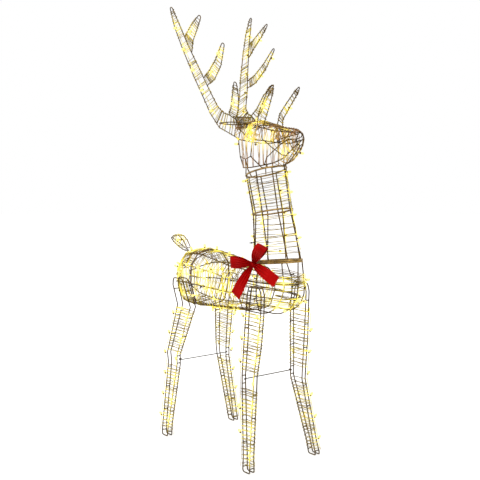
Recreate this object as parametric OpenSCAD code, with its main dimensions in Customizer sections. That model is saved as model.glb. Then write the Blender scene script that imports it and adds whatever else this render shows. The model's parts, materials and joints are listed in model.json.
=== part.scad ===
// Light-up yard reindeer: a free-standing wire-frame deer for the garden.
// X runs forward to the nose, Y to the deer's left, Z up. Millimetres.
// Stations below are written for the nominal deer and scaled by the overall sizes.

/* [Overall size] */
// height from the ground to the antler tips
total_height = 1500; // [900:50:2100]
// length from tail tip to nose
total_length = 745; // [450:5:1050]
// width across the antler tips
antler_spread = 350; // [220:5:520]

/* [Wires] */
// diameter of the bent frame rods
frame_wire_d = 4; // [3:0.5:6]
// diameter of the thick seam rings
ring_wire_d = 6; // [4:0.5:9]
// diameter of the antler, ear and tail edge wires
edge_wire_d = 3.4; // [2.5:0.1:5]
// diameter of the fine winding wire
wrap_wire_d = 1.6; // [1:0.1:2.4]
// diameter of the light-string wire
string_wire_d = 1.6; // [1:0.1:2.4]
// hairline left at each weld
weld_gap = 0.12; // [0.1:0.01:0.3]

/* [Winding] */
// pitch of the winding on body and neck
body_pitch = 21; // [12:1:40]
// pitch of the winding on the head
head_pitch = 17; // [12:1:40]
// pitch of the winding on the legs
leg_pitch = 21; // [12:1:40]
// pitch of the winding on the antlers
antler_pitch = 25; // [12:1:40]
// pitch of the winding on the tail
tail_pitch = 14; // [10:1:30]

/* [Body] */
// top of the rear hoop
back_height = 671; // [600:1:740]
// underside of the rear hoop
belly_height = 468; // [420:1:520]
// half width of the body at the rear hoop
body_half_width = 84; // [60:1:110]
// fore-and-aft place of the rear hoop, from the rear toes
hoop_x = 43; // [20:1:80]
// fore-and-aft place of the chest hoop
chest_hoop_x = 312; // [260:1:330]

/* [Legs] */
// distance from rear toes to front toes
wheelbase = 467; // [400:1:520]
// half the distance between the rear toes
rear_stance = 149; // [110:1:190]
// half the distance between the front toes
front_stance = 140; // [110:1:180]
// fore-and-aft length of a hoof
hoof_length = 38; // [28:1:50]
// distance between the inner and outer loop of a shank
shank_width = 14; // [12:0.5:20]
// distance between the loops at the top of a leg
thigh_width = 22; // [16:1:30]

/* [Leg braces] */
// height of the front brace
front_brace_z = 280; // [260:1:300]
// height of the rear brace
rear_brace_z = 274; // [255:1:295]
// diameter of the brace wire
brace_wire_d = 3.4; // [2.5:0.1:5]
// running clearance of the brace eye round its leg rod
eye_clearance = 0.6; // [0.3:0.1:1.2]
// length of the turned-in hook tip
hook_length = 9; // [6:1:16]
// swing of both braces at rest, in degrees
brace_swing = 0; // [0:5:90]

/* [Neck] */
// middle of the neck foot, fore and aft
neck_foot_x = 420; // [400:1:430]
// height of the neck foot
neck_foot_z = 658; // [640:1:680]
// half length of the neck foot ring
neck_foot_a = 100; // [80:1:102]
// half width of all neck rings
neck_half_width = 60; // [45:1:75]
// height of the middle neck ring
neck_mid_z = 820; // [780:1:850]
// height of the top neck ring
neck_top_z = 949; // [920:1:960]

/* [Lights] */
// diameter of an LED bulb
bulb_d = 6.5; // [4:0.5:9]
// length of an LED bulb
bulb_length = 12; // [8:0.5:16]
// spacing of the bulbs along a string
bulb_pitch = 75; // [50:5:150]

/* [Bow] */
// width of the ribbon
ribbon_width = 38; // [25:1:50]
// thickness of the ribbon
ribbon_t = 0.8; // [0.5:0.1:1.5]
// length of each bow loop
bow_loop = 88; // [60:1:120]
// length of each bow tail
bow_tail = 120; // [80:1:160]

/* [Hidden] */
$fn = 16;

// nominal sizes that the stations are written for
nominal_height = 1500;
nominal_length = 745;
nominal_spread = 350;
// halfway between tail tip and nose, measured from the rear toes
mid_x = 162.5;
kx = total_length / nominal_length;
ky = antler_spread / nominal_spread;
kz = total_height / nominal_height;
function P(x, y, z) = [(x - mid_x) * kx, y * ky, z * kz];

// radii
fr = frame_wire_d / 2;
rr = ring_wire_d / 2;
er = edge_wire_d / 2;
wr = wrap_wire_d / 2;
sr = string_wire_d / 2;
br = brace_wire_d / 2;
g = weld_gap;

// colours
c_rod = [0.36, 0.30, 0.16];
c_ring = [0.62, 0.45, 0.18];
c_wrap = [0.50, 0.42, 0.22];
c_string = [0.20, 0.19, 0.12];
c_bulb = [1.0, 0.86, 0.45];
c_bow = [0.69, 0.02, 0.02];
c_black = [0.05, 0.05, 0.05];

// ---------- vector helpers ----------
function unit(v) = v / norm(v);
function mirror_y(p) = [p[0], -p[1], p[2]];
function side_list(list, s) = [for (p = list) [p[0], s * p[1], p[2]]];
function reversed(list) = [for (i = [len(list) - 1:-1:0]) list[i]];
// point at fraction f along a list of stations
function along(list, f) =
  let (n = len(list) - 1, s = max(0, min(1, f)) * n, i = min(floor(s), n - 1))
  list[i] + (list[i + 1] - list[i]) * (s - i);
// rounds every inner corner of a route with a short curve of radius r
function rounded(p, r, m = 3) = concat([p[0]],
  [for (i = [1:len(p) - 2])
    let (a = p[i - 1] - p[i], b = p[i + 1] - p[i], ua = unit(a), ub = unit(b),
         turn = 180 - acos(max(-1, min(1, ua * ub))),
         d = min(r * tan(turn / 2), 0.45 * min(norm(a), norm(b))))
    each [for (j = [0:m]) let (t = j / m)
      p[i] + ua * d * (1 - t) * (1 - t) + ub * d * t * t]],
  [p[len(p) - 1]]);
// rounds every corner of a closed route
function rounded_loop(p, r, m = 3) = let (n = len(p))
  [for (i = [0:n - 1])
    let (a = p[(i + n - 1) % n] - p[i], b = p[(i + 1) % n] - p[i], ua = unit(a), ub = unit(b),
         turn = 180 - acos(max(-1, min(1, ua * ub))),
         d = min(r * tan(turn / 2), 0.45 * min(norm(a), norm(b))))
    each [for (j = [0:m]) let (t = j / m)
      p[i] + ua * d * (1 - t) * (1 - t) + ub * d * t * t]];
// shortens both ends of a route by a and b
function trimmed(p, a, b) = let (n = len(p)) concat(
  [p[0] + unit(p[1] - p[0]) * a], [for (i = [1:1:n - 2]) p[i]],
  [p[n - 1] + unit(p[n - 2] - p[n - 1]) * b]);

// ---------- wires ----------
// heading at each station of a route; a corner takes the mean of its two stretches
function headings(p, closed) = let (n = len(p))
  [for (i = [0:n - 1])
    let (first = !closed && i == 0, last = !closed && i == n - 1,
         fore = last ? p[i] - p[i - 1] : p[(i + 1) % n] - p[i],
         back = first ? fore : p[i] - p[(i + n - 1) % n])
    unit(unit(fore) + unit(back))];
// side direction at each station: carried along an open wire without twist, or square to ref
function square_to(v, t) = unit(v - t * (v * t));
function side_dirs(t, ref, closed) = closed ? [for (d = t) unit(cross(d, ref))]
  : [for (i = 0, u = unit(cross(t[0], ref)); i < len(t);
      i = i + 1, u = i < len(t) ? square_to(u, t[i]) : u) u];
function tube_points(p, r, s, ref, closed) =
  let (t = headings(p, closed), side = side_dirs(t, ref, closed))
  [for (i = [0:len(p) - 1]) let (u = side[i], v = cross(t[i], u))
    each [for (k = [0:s - 1]) p[i] + r * (u * cos(360 / s * k) + v * sin(360 / s * k))]];
function tube_sides(n, s, wrap) =
  [for (i = [0:n - 1 - (wrap ? 0 : 1)], k = [0:s - 1])
    let (j = (i + 1) % n, l = (k + 1) % s)
    each [[i * s + k, j * s + l, i * s + l], [i * s + k, j * s + k, j * s + l]]];
// a bent wire along a route; ref is a direction the route never follows
module wire(p, r, ref = [0, 1, 0], s = 6) {
  n = len(p);
  polyhedron(tube_points(p, r, s, ref, false), concat(tube_sides(n, s, false),
    [[for (k = [0:s - 1]) k]], [[for (k = [0:s - 1]) n * s - 1 - k]]));
}
// a closed wire loop
module wire_loop(p, r, ref = [1, 0, 0], s = 6) {
  polyhedron(tube_points(p, r, s, ref, true), tube_sides(len(p), s, true));
}
// a straight rod between two points
module rod(a, b, r) {
  z = unit(b - a);
  x = unit(cross(abs(z[0]) < 0.8 ? [1, 0, 0] : [0, 1, 0], z));
  y = cross(z, x);
  multmatrix([[x[0], y[0], z[0], a[0]], [x[1], y[1], z[1], a[1]], [x[2], y[2], z[2], a[2]],
    [0, 0, 0, 1]]) cylinder(r = r, h = norm(b - a));
}
// a straight rod welded between two wires of radius ra and rb
module rung(a, b, r, ra, rb) {
  u = unit(b - a);
  rod(a + u * (ra + g), b - u * (rb + g), r);
}

// ---------- winding ----------
function turns(length, pitch) = max(2, round(length / pitch));
// R is a ring of longitudinal rods, each a list of stations
function ring_at(R, k, f) = along(R[(k + len(R)) % len(R)], f);
// outward direction at rod k, lengthened so that a taut wire clears the rod by d
function outward(R, k, f, d) =
  let (p = ring_at(R, k, f), a = unit(ring_at(R, k - 1, f) - p), b = unit(ring_at(R, k + 1, f) - p),
       t = unit(ring_at(R, k, min(1, f + 0.01)) - ring_at(R, k, max(0, f - 0.01))),
       n = -unit(a + b), half = (180 - acos(max(-1, min(1, a * b)))) / 2)
  unit(n - t * (n * t)) * d / cos(half);
function normal_at(R, k, f) = unit(outward(R, k, f, 1));
wind_d = fr + g + wr;
// helix round all rods from fraction f0 to f1
function helix(R, f0, f1, turns, d) = let (K = len(R))
  [for (i = [0:round(turns * K)])
    let (k = i % K, f = f0 + (f1 - f0) * i / round(turns * K))
    ring_at(R, k, f) + (d > 0 ? outward(R, k, f, d) : [0, 0, 0])];
// back-and-forth winding over an open row of rods; ends on the outer rods
function serpentine(R, f0, f1, passes, d) = let (K = len(R))
  [for (j = [0:passes - 1], i = [0:K - 1])
    let (k = j % 2 == 0 ? i : K - 1 - i,
         f = f0 + (f1 - f0) * (j + 0.8 * i / (K - 1)) / (passes - 0.2),
         p = ring_at(R, k, f),
         a = unit(ring_at(R, max(k - 1, 0) == k ? 1 : k - 1, f) - p),
         b = unit(ring_at(R, min(k + 1, K - 1) == k ? K - 2 : k + 1, f) - p),
         edge = k == 0 || k == K - 1)
    p + (edge ? edge_out(R, k, f, d) : row_out(a, b, d))];
function row_out(a, b, d) =
  let (half = (180 - acos(max(-1, min(1, a * b)))) / 2) -unit(a + b) * d / cos(half);
// the end rods borrow the direction of their neighbour's chord
function edge_out(R, k, f, d) = let (K = len(R), q = k == 0 ? 1 : K - 2, r = k == 0 ? 2 : K - 3,
    p = ring_at(R, k, f), c = unit(p - ring_at(R, q, f)),
    a = unit(ring_at(R, k, f) - ring_at(R, q, f)), b = unit(ring_at(R, r, f) - ring_at(R, q, f)),
    n = -unit(a + b), m = n - c * (n * c))
  unit(m) * d * 1.02;
// how far a light string runs outside rod k, over the winding
function string_off(R, k, f) = outward(R, k, f, wind_d)
  + normal_at(R, k, f) * (wr + 4 * g + sr);

// ---------- body stations ----------
// back line, belly line and half width along the body, from the rear toes
back_line = [[-118, 589], [-108, 608], [-86, 633], [-40, back_height - 11], [hoop_x, back_height],
  [140, back_height - 14], [237, back_height - 31], [chest_hoop_x, back_height - 35], [420, 632]];
belly_line = [[-118, 534], [-108, 509], [-86, 488], [-40, belly_height + 5],
  [hoop_x, belly_height], [140, belly_height + 8], [237, belly_height + 16],
  [chest_hoop_x, belly_height + 20], [420, belly_height + 20]];
width_line = [[-118, 20], [-108, 36], [-86, 52], [-40, body_half_width - 10],
  [hoop_x, body_half_width], [140, body_half_width + 1], [237, body_half_width],
  [chest_hoop_x, body_half_width - 5], [405, body_half_width - 12]];
// the ten rails, as shares of half width and of height
rail_share = [[0, 1], [0.62, 0.94], [0.98, 0.73], [1, 0.42], [0.74, 0.05],
  [0, 0], [-0.74, 0.05], [-1, 0.42], [-0.98, 0.73], [-0.62, 0.94]];
function body_pt(k, x) = let (t = lookup(x, back_line), b = lookup(x, belly_line),
    w = lookup(x, width_line), s = rail_share[(k + 10) % 10])
  P(x, w * s[0], b + (t - b) * s[1]);
barrel_x = [hoop_x, 140, 237, chest_hoop_x];
barrel_rods = [for (k = [0:9]) [for (x = barrel_x) body_pt(k, x)]];
rear_x = [hoop_x, 0, -40, -66, -86, -98, -108, -118];
rear_rods = [for (k = [0:9]) [for (x = rear_x) body_pt(k, x)]];
function body_ring(x) = rounded_loop([for (k = [0:9]) body_pt(k, x)], 14, 1);

module rear_frame() color(c_rod) {
  for (k = [0:9]) wire(trimmed(rear_rods[k], rr + g, er + g), fr, [0, 1, 0], 6);
  // small ring that gathers the rails at the rump
  wire_loop([for (k = [0:9]) body_pt(k, rear_x[7])], er, [1, 0, 0], 6);
}
module rear_hoop() color(c_ring)
  wire_loop(body_ring(hoop_x), rr, [1, 0, 0], 6);
module barrel_frame() color(c_rod)
  for (k = [0:9]) wire(trimmed(barrel_rods[k], rr + g, fr + g), fr, [0, 1, 0], 6);

// ---------- chest ----------
// the neck foot: an oval tilted up towards the front
foot_tilt = 0.11;
function oval(x0, z0, a, tilt, q) = P(x0 + a * cos(q), neck_half_width * sin(q), z0 + a * cos(q) * tilt);
function foot_pt(q) = oval(neck_foot_x, neck_foot_z, neck_foot_a, foot_tilt, q);
chest_c = [400, 590];
chest_rx = neck_foot_x + neck_foot_a - chest_c[0];
chest_rz = chest_c[1] - belly_height - 20;
layer = 2 * fr + g;
// keel rod up the middle of the chest
keel = concat([P(chest_hoop_x, 0, belly_height + 20), P(360, 0, belly_height + 20)],
  [for (q = [0:15:90]) P(chest_c[0] + chest_rx * sin(q), 0, chest_c[1] - chest_rz * cos(q))],
  [foot_pt(0)]);
// the two rods beside it
brow_q = 45;
flank_y = 56;
side_keel = concat([body_pt(4, chest_hoop_x), P(360, flank_y + 2, belly_height + 27)],
  [for (q = [0:18:90]) P(chest_c[0] + (chest_rx - 17) * sin(q),
    flank_y + (neck_half_width * sin(brow_q) - flank_y) * q / 90,
    chest_c[1] - (chest_rz - 7) * cos(q))],
  [foot_pt(brow_q)]);
// point at height z on a rod given as a route
function at_height(p, z) = let (hits = [for (i = [0:len(p) - 2])
    if ((p[i][2] - z) * (p[i + 1][2] - z) <= 0 && p[i][2] != p[i + 1][2])
      p[i] + (p[i + 1] - p[i]) * (z - p[i][2]) / (p[i + 1][2] - p[i][2])]) hits[0];
chest_depth = back_height - 35 - belly_height - 20;
upper_z = belly_height + 20 + chest_depth * 0.73;
lower_z = belly_height + 20 + chest_depth * 0.42;
// upright ribs beside the front legs
rib_x = 404;
rib_q = 105;
rib = [P(rib_x, body_half_width - 22, belly_height + 34),
  P(rib_x, body_half_width - 8.5, lower_z - 6), P(rib_x, body_half_width - 8.5, upper_z + 2),
  foot_pt(rib_q)];

// level rails round the inside of the uprights
up_keel = [for (i = [1:len(keel) - 1]) keel[i]];
function chest_rail(z) = let (h = z * kz, a = at_height(rib, h), b = at_height(side_keel, h),
    c = at_height(up_keel, h), u = unit([c[0] - a[0], c[1] - a[1], 0]))
  rounded([P(chest_hoop_x, lookup(chest_hoop_x, width_line) * 0.985, z), a - [0, layer + 0.3, 0],
    b - [-u[1], u[0], 0] * (layer + 1.2), c - [layer + 0.3, 0, 0]], 30, 2);

module chest_frame() color(c_rod) {
  wire_loop(body_ring(chest_hoop_x), fr, [1, 0, 0], 6);
  wire(trimmed(keel, fr + g, rr + g), fr, [0, 1, 0], 6);
  for (s = [-1, 1]) {
    wire(trimmed(side_list(side_keel, s), fr + g, rr + g), fr, [0, 1, 0], 6);
    wire(trimmed(side_list(chest_rail(upper_z), s), fr + g, 0.8), fr,
      [0, 0, 1], 6);
    wire(trimmed(side_list(chest_rail(lower_z), s), fr + g, 0.8), fr,
      [0, 0, 1], 6);
    wire(trimmed(side_list(rounded(rib, 30, 3), s), 0, rr + g), fr, [1, 0, 0], 6);
  }
}
module chest_ring() color(c_ring)
  wire_loop([for (i = [0:23]) foot_pt(i * 15)], rr, [0, 0, 1], 6);

// ---------- neck ----------
neck_top_x = 360;
neck_mid_x = 394;
neck_mid_a = 70;
neck_top_a = 75;
neck_mid_tilt = 0.2;
neck_top_tilt = 0.25;
function foot2_pt(q) = foot_pt(q) + unit([-foot_tilt, 0, 1]) * (2 * rr + g) * 1.02;
function mid_pt(q) = oval(neck_mid_x, neck_mid_z, neck_mid_a, neck_mid_tilt, q);
function top_pt(q) = oval(neck_top_x, neck_top_z, neck_top_a, neck_top_tilt, q);
neck_q = [for (k = [0:7]) 15 + 45 * k];
lower_rods = [for (q = neck_q) [foot2_pt(q), mid_pt(q)]];
upper_rods = [for (q = neck_q) [mid_pt(q), top_pt(q)]];

module neck_foot_ring() color(c_ring)
  wire_loop([for (i = [0:23]) foot2_pt(i * 15)], rr, [0, 0, 1], 6);
module neck_lower_frame() color(c_rod)
  for (q = neck_q) rung(foot2_pt(q), mid_pt(q), fr, rr + 0.2, rr);
module neck_mid_ring() color(c_ring)
  wire_loop([for (i = [0:23]) mid_pt(i * 15)], rr, [0, 0, 1], 6);
module neck_upper_frame() color(c_rod)
  for (q = neck_q) rung(mid_pt(q), top_pt(q), fr, rr, rr);
module neck_top_ring() color(c_ring)
  wire_loop([for (i = [0:23]) top_pt(i * 15)], rr, [0, 0, 1], 6);

// ---------- head ----------
// heights and half widths of the head rods, along the skull from back to nose
crown_line = [[250, 1103], [290, 1115], [340, 1111], [390, 1099], [435, 1090], [475, 1085],
  [510, 1080], [526, 1071]];
temple_z = [[250, 1090], [290, 1102], [340, 1099], [390, 1087], [435, 1078], [475, 1074],
  [510, 1070], [526, 1064]];
temple_y = [[250, 20], [290, 33], [340, 36], [390, 33], [435, 28], [475, 22], [510, 17], [526, 11]];
cheek_z = [[250, 1056], [290, 1052], [340, 1046], [390, 1040], [435, 1039], [475, 1044],
  [510, 1049], [526, 1050]];
cheek_y = [[250, 29], [290, 45], [340, 50], [390, 46], [435, 37], [475, 30], [510, 24], [526, 15]];
jaw_z = [[250, 1000], [290, 962], [340, 963], [390, 969], [435, 977], [475, 992], [510, 1020],
  [526, 1036]];
jaw_y = [[250, 22], [290, 38], [340, 47], [390, 44], [435, 32], [475, 23], [510, 17], [526, 11]];
chin_line = [[435, 966], [475, 981], [510, 1011], [526, 1030]];
head_x = [250, 290, 340, 390, 435, 475, 510, 526];
crown = [for (x = head_x) P(x, 0, lookup(x, crown_line))];
temple = [for (x = head_x) P(x, lookup(x, temple_y), lookup(x, temple_z))];
cheek = [for (x = head_x) P(x, lookup(x, cheek_y), lookup(x, cheek_z))];
jaw = [for (x = head_x) P(x, lookup(x, jaw_y), lookup(x, jaw_z))];
chin = [for (x = [435, 475, 510, 526]) P(x, 0, lookup(x, chin_line))];
skull_rods = [jaw, cheek, temple, crown, side_list(temple, -1), side_list(cheek, -1),
  side_list(jaw, -1)];
// ring of rod ends round the muzzle and at the back of the skull
function head_end(i) = [crown[i], temple[i], cheek[i], jaw[i],
  P(head_x[i], 0, i == 0 ? 990 : lookup(head_x[i], chin_line)),
  mirror_y(jaw[i]), mirror_y(cheek[i]), mirror_y(temple[i])];
throat = [top_pt(0), P(452, 0, 970), chin[1], chin[2], chin[3]];
nape = [P(250, 0, 990), P(262, 0, 958), top_pt(180)];

module head_frame() color(c_rod) {
  wire(trimmed(crown, er + g, er + g), fr, [0, 1, 0], 6);
  for (s = [-1, 1]) for (r = [temple, cheek, jaw])
    wire(trimmed(side_list(r, s), er + g, er + g), fr, [0, 0, 1], 6);
  wire_loop(head_end(7), er, [1, 0, 0], 6);
  wire_loop(head_end(0), er, [1, 0, 0], 6);
  wire(trimmed(throat, rr + g, er + g), fr, [0, 1, 0], 6);
  wire(trimmed(nape, er + g, rr + g), fr, [0, 1, 0], 6);
  // posts from the neck ring up to the jaw rods
  for (s = [-1, 1]) for (q = [45, 135])
    let (b = top_pt(q), x = b[0] / kx + mid_x)
      rung([b[0], s * b[1], b[2]], P(x, s * lookup(x, jaw_y), lookup(x, jaw_z)), er, rr + 0.9,
        fr + 0.4);
}

// ---------- antlers ----------
// left antler: middle line of the beam from the back of the skull to the main tip
spread_y = nominal_spread / 2 - 3;
beam = [P(246, 30, 1088), P(212, 39, 1107), P(178, 46, 1121), P(152, 58, 1155), P(134, 80, 1215),
  P(112, 100, 1278), P(84, 130, 1370), P(68, 152, 1440), P(60, spread_y - 2, nominal_height - 2)];
beam_w = [60, 64, 63, 50, 45, 43, 34, 28, 12];
// outward normal of the antler's own plane
antler_n = unit([0.08, 0.954, -0.287]);
function tangent(p, i) = unit(p[min(len(p) - 1, i + 1)] - p[max(0, i - 1)]);
function in_plane(t) = unit(cross(antler_n, t));
// edges of a branch: e is +1 for the front wire, -1 for the back wire
function edge(p, w, e) = [for (i = [0:len(p) - 1]) p[i] + in_plane(tangent(p, i)) * e * w[i] / 2];
// the two edges joined round the tip
function prong(p, w) = let (n = len(p) - 1, t = tangent(p, n), q = in_plane(t), h = w[n] / 2)
  concat([for (i = [0:n - 1]) p[i] + in_plane(tangent(p, i)) * w[i] / 2],
    [for (a = [0:45:180]) p[n] - t * h + q * h * cos(a) + t * h * sin(a)],
    [for (i = [n - 1:-1:0]) p[i] - in_plane(tangent(p, i)) * w[i] / 2]);
// end of an edge wire welded to a wire of radius r at a, whose heading is t, on its way to b
function weld(a, t, b, r) = let (u = unit(b - a), c = max(0.35, min(1, norm(cross(u, unit(t))))))
  a + u * (r + g + er * sqrt(1 - c * c)) / c;
// the beam: front wire rooted on the temple rod, back wire on the ring behind the skull
beam_front = edge(beam, beam_w, 1);
beam_back = edge(beam, beam_w, -1);
beam_foot = P(266, lookup(266, temple_y), lookup(266, temple_z));
beam_loop = concat([weld(beam_foot, [1, 0, 0], beam_front[0], fr)], prong(beam, beam_w),
  [weld(cheek[0], temple[0] - jaw[0], beam_back[0], er)]);
// tines: where the two wires meet the front wire of the beam, middle line, widths
tines = [
  [0.71, 0.79, [P(120, 135, 1394), P(152, 139, 1422), P(190, 141, 1455)], [36, 29, 13]],
  [0.53, 0.58, [P(185, 92, 1266), P(229, 97, 1303), P(270, 106, 1361)], [34, 29, 13]],
  [0.05, 0.155, [P(258, 51, 1153), P(277, 62, 1197), P(299, 80, 1237)], [34, 28, 13]]];
function front_at(f) = along(beam_front, f);
function front_t(f) = front_at(f + 0.01) - front_at(f - 0.01);
function tine_route(i) = let (d = tines[i], c = prong(d[2], d[3]), n = len(c) - 1)
  concat([weld(front_at(d[0]), front_t(d[0]), c[0], er)], c,
    [weld(front_at(d[1]), front_t(d[1]), c[n], er)]);
// brow tine: both wires rooted on the temple rod, between passes of the winding
head_passes = turns(norm(crown[0] - crown[4]), head_pitch);
function clear_spot(j) = 0.2 + 0.77 * (j + 0.9) / (head_passes - 0.2);
skull_top = [for (p = skull_rods) [for (i = [0:4]) p[i]]];
function brow_foot(j) = ring_at(skull_top, 2, clear_spot(j));
brow_j = [max(0, round(head_passes * 0.45)), min(head_passes - 2, round(head_passes * 0.45) + 2)];
brow_p = [P(388, 40, 1126), P(414, 45, 1160), P(443, 52, 1197), P(458, 55, 1216)];
brow_w = [32, 28, 21, 10];
function brow_up(j) = normal_at(skull_top, 2, clear_spot(j));
brow = let (c = prong(brow_p, brow_w), a = brow_foot(brow_j[0]), b = brow_foot(brow_j[1]),
    n = len(c) - 1, high = c[0][2] > c[n][2])
  concat([(high ? a : b) + brow_up(high ? brow_j[0] : brow_j[1]) * (fr + g + 0.2),
      (high ? a : b) + brow_up(high ? brow_j[0] : brow_j[1]) * 9], c,
    [(high ? b : a) + brow_up(high ? brow_j[1] : brow_j[0]) * 9,
      (high ? b : a) + brow_up(high ? brow_j[1] : brow_j[0]) * (fr + g + 0.2)]);
module antler_wires() {
  wire(beam_loop, er, antler_n, 6);
  for (i = [0:2]) wire(tine_route(i), er, antler_n, 6);
  wire(brow, er, antler_n, 6);
  // short rungs that keep the two beam wires apart
  for (f = [0.03, 0.29, 0.50, 0.67, 0.89])
    rung(along(beam_front, f), along(beam_back, f), er * 0.8, er, er);
}
module antler_left() color(c_rod) antler_wires();
module antler_right() color(c_rod) mirror([0, 1, 0]) antler_wires();
// two bars that tie the antlers together behind the skull
bar_low = along(beam_front, 0.03) * 0.55 + along(beam_back, 0.03) * 0.45;
bar_high = along(beam_front, 0.1);
module antler_bridge() color(c_ring) {
  rung(mirror_y(bar_low), bar_low, er, er * 0.8 + 0.5, er * 0.8 + 0.5);
  rung(mirror_y(bar_high), bar_high, er, er + 0.4, er + 0.4);
}

// ---------- ears ----------
ear_ring = [for (p = skull_rods) [for (i = [0:4]) p[i]]];
ear_seat = [for (f = [0.27, 0.46]) ring_at(ear_ring, 2, f) + outward(ear_ring, 2, f, wind_d)
  + normal_at(ear_ring, 2, f) * (wr + g + er)];
ear_tip = P(262, 116, 1106);
ear_mid = (ear_seat[0] + ear_seat[1]) / 2;
ear_o = ear_mid + unit(ear_tip - ear_mid) * (2 * er + g);
ear_n = unit(cross(ear_tip - ear_o, [1, 0, -0.3]));
function ear_pt(f, w) = let (t = unit(ear_tip - ear_o), q = cross(ear_n, t), L = norm(ear_tip - ear_o))
  ear_o + t * L * f + q * w;
ear_outline = [for (d = [[0, 3], [0.2, 10], [0.45, 16], [0.7, 13], [0.9, 6], [1, 0], [0.9, -6],
  [0.7, -13], [0.45, -16], [0.2, -10], [0, -3]]) ear_pt(d[0], d[1])];
module ear_wires() {
  wire(ear_outline, er, ear_n, 6);
  rod(ear_seat[0], ear_seat[1], er);
  for (f = [0.2, 0.45, 0.7])
    let (w = lookup(f, [[0.2, 10], [0.45, 16], [0.7, 13]]))
      rung(ear_pt(f, w), ear_pt(f, -w), er * 0.7, er, er);
}
module ear_left() color(c_rod) ear_wires();
module ear_right() color(c_rod) mirror([0, 1, 0]) ear_wires();

// ---------- tail ----------
tail_low = [P(-105, 8, 653), P(-130, 9, 660), P(-154, 10, 669), P(-178, 9, 679), P(-200, 5, 688)];
tail_high = [P(-94, 8, 664), P(-116, 9, 690), P(-144, 10, 706), P(-172, 9, 708), P(-198, 5, 700)];
tail_tip = P(-208, 4, 694);
tail_rods = [tail_low, side_list(tail_low, -1), side_list(tail_high, -1), tail_high];
module tail() color(c_rod) {
  for (s = [-1, 1])
    wire(side_list(concat(tail_low, [tail_tip], reversed(tail_high)), s), er, [0, 1, 0], 6);
  for (p = [tail_low[0], tail_high[0], tail_low[2], tail_high[2], tail_tip])
    rung(p, mirror_y(p), er * 0.8, er, er);
  // stem down to the back rail
  rung(along(rear_rods[0], 0.562), [tail_low[0][0], 0, tail_low[0][2]], er, fr + 1.2, er * 0.8);
}

// ---------- legs ----------
// stations of a leg from the hoof up: height, front rod, rear rod, middle y, half width
front_leg = [[fr / kz, wheelbase - fr, wheelbase - hoof_length + fr, front_stance, shank_width / 2 + 2],
  [14, wheelbase - 3, wheelbase - hoof_length, front_stance - 1, shank_width / 2 + 2],
  [44, wheelbase - 9, wheelbase - hoof_length - 4, front_stance - 5, shank_width / 2 + 1],
  [front_brace_z - 18, 434, 376, 103, shank_width / 2],
  [front_brace_z + 18, 436, 376, 103, shank_width / 2],
  [400, 450, 380, 98, shank_width / 2 + 1],
  [505, 459, 384, 94, thigh_width / 2 - 4.5],
  [560, 461, 391, 94, thigh_width / 2 - 4.5],
  [586, 454, 398, 94, thigh_width / 2 - 4.5]];
rear_leg = [[fr / kz, -fr, -hoof_length + fr, rear_stance, shank_width / 2 + 2],
  [14, -3, -hoof_length, rear_stance - 1, shank_width / 2 + 2],
  [44, -4, -hoof_length - 3, rear_stance - 5, shank_width / 2 + 1],
  [rear_brace_z - 18, -1, -58, 109, shank_width / 2],
  [rear_brace_z + 18, -1, -64, 109, shank_width / 2],
  [380, 26, -46, 96, shank_width / 2 + 2],
  [470, 54, -28, 83, thigh_width / 2],
  [545, 52, -22, 106, thigh_width / 2],
  [572, 44, -14, 109, thigh_width / 2]];
function leg_rod(L, front, outer) = [for (a = L)
  P(front ? a[1] : a[2], a[3] + (outer ? 1 : -1) * a[4] / ky, a[0])];
// half a loop: from the middle of the hoof up one rod to the middle of the top
function leg_half(L, front, outer) = let (a = leg_rod(L, front, outer), b = leg_rod(L, !front, outer),
    n = len(L) - 1, foot = rounded([(a[0] + b[0]) / 2, a[0], a[1], a[2]], 14, 2),
    top = rounded([a[n - 2], a[n - 1], a[n], (a[n] + b[n]) / 2], 14, 2))
  concat([for (i = [0:6]) foot[i]], [for (i = [2:n - 2]) a[i]], [for (i = [1:7]) top[i]]);
// a point on a leg rod at height z
function leg_at(L, front, outer, z) = P(
  lookup(z, [for (a = L) [a[0], front ? a[1] : a[2]]]),
  lookup(z, [for (a = L) [a[0], a[3] + (outer ? 1 : -1) * a[4] / ky]]), z);
front_rungs = [[16, 1], [16, 0], [90, 1], [90, 0], [170, 1], [170, 0], [240, 1],
  [front_brace_z - 12, 0], [front_brace_z + 14, 0], [370, 1], [370, 0], [450, 1], [450, 0],
  [530, 1], [530, 0]];
rear_rungs = [[16, 1], [16, 0], [90, 1], [90, 0], [170, 1], [170, 0], [240, 0],
  [rear_brace_z - 12, 1], [rear_brace_z + 14, 1], [360, 1], [360, 0], [430, 1], [430, 0],
  [530, 1], [530, 0]];
module leg(L, rungs, s) {
  for (front = [true, false]) for (outer = [true, false])
    wire(trimmed(side_list(leg_half(L, front, outer), s), g / 2, g / 2), fr, [0, 1, 0], 6);
  for (q = rungs) let (a = leg_at(L, q[1] == 1, false, q[0]), b = leg_at(L, q[1] == 1, true, q[0]))
    rung([a[0], s * a[1], a[2]], [b[0], s * b[1], b[2]], er, fr, fr);
}
module leg_front_left() color(c_rod) leg(front_leg, front_rungs, 1);
module leg_front_right() color(c_rod) leg(front_leg, front_rungs, -1);
module leg_rear_left() color(c_rod) leg(rear_leg, rear_rungs, 1);
module leg_rear_right() color(c_rod) leg(rear_leg, rear_rungs, -1);

// ---------- braces ----------
// pivot: the upright stretch of an inner leg rod beside the knee
front_pivot = leg_at(front_leg, false, false, front_brace_z);
rear_pivot = mirror_y(leg_at(rear_leg, true, false, rear_brace_z));
eye_r = (fr + eye_clearance + br) / cos(15);
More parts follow.
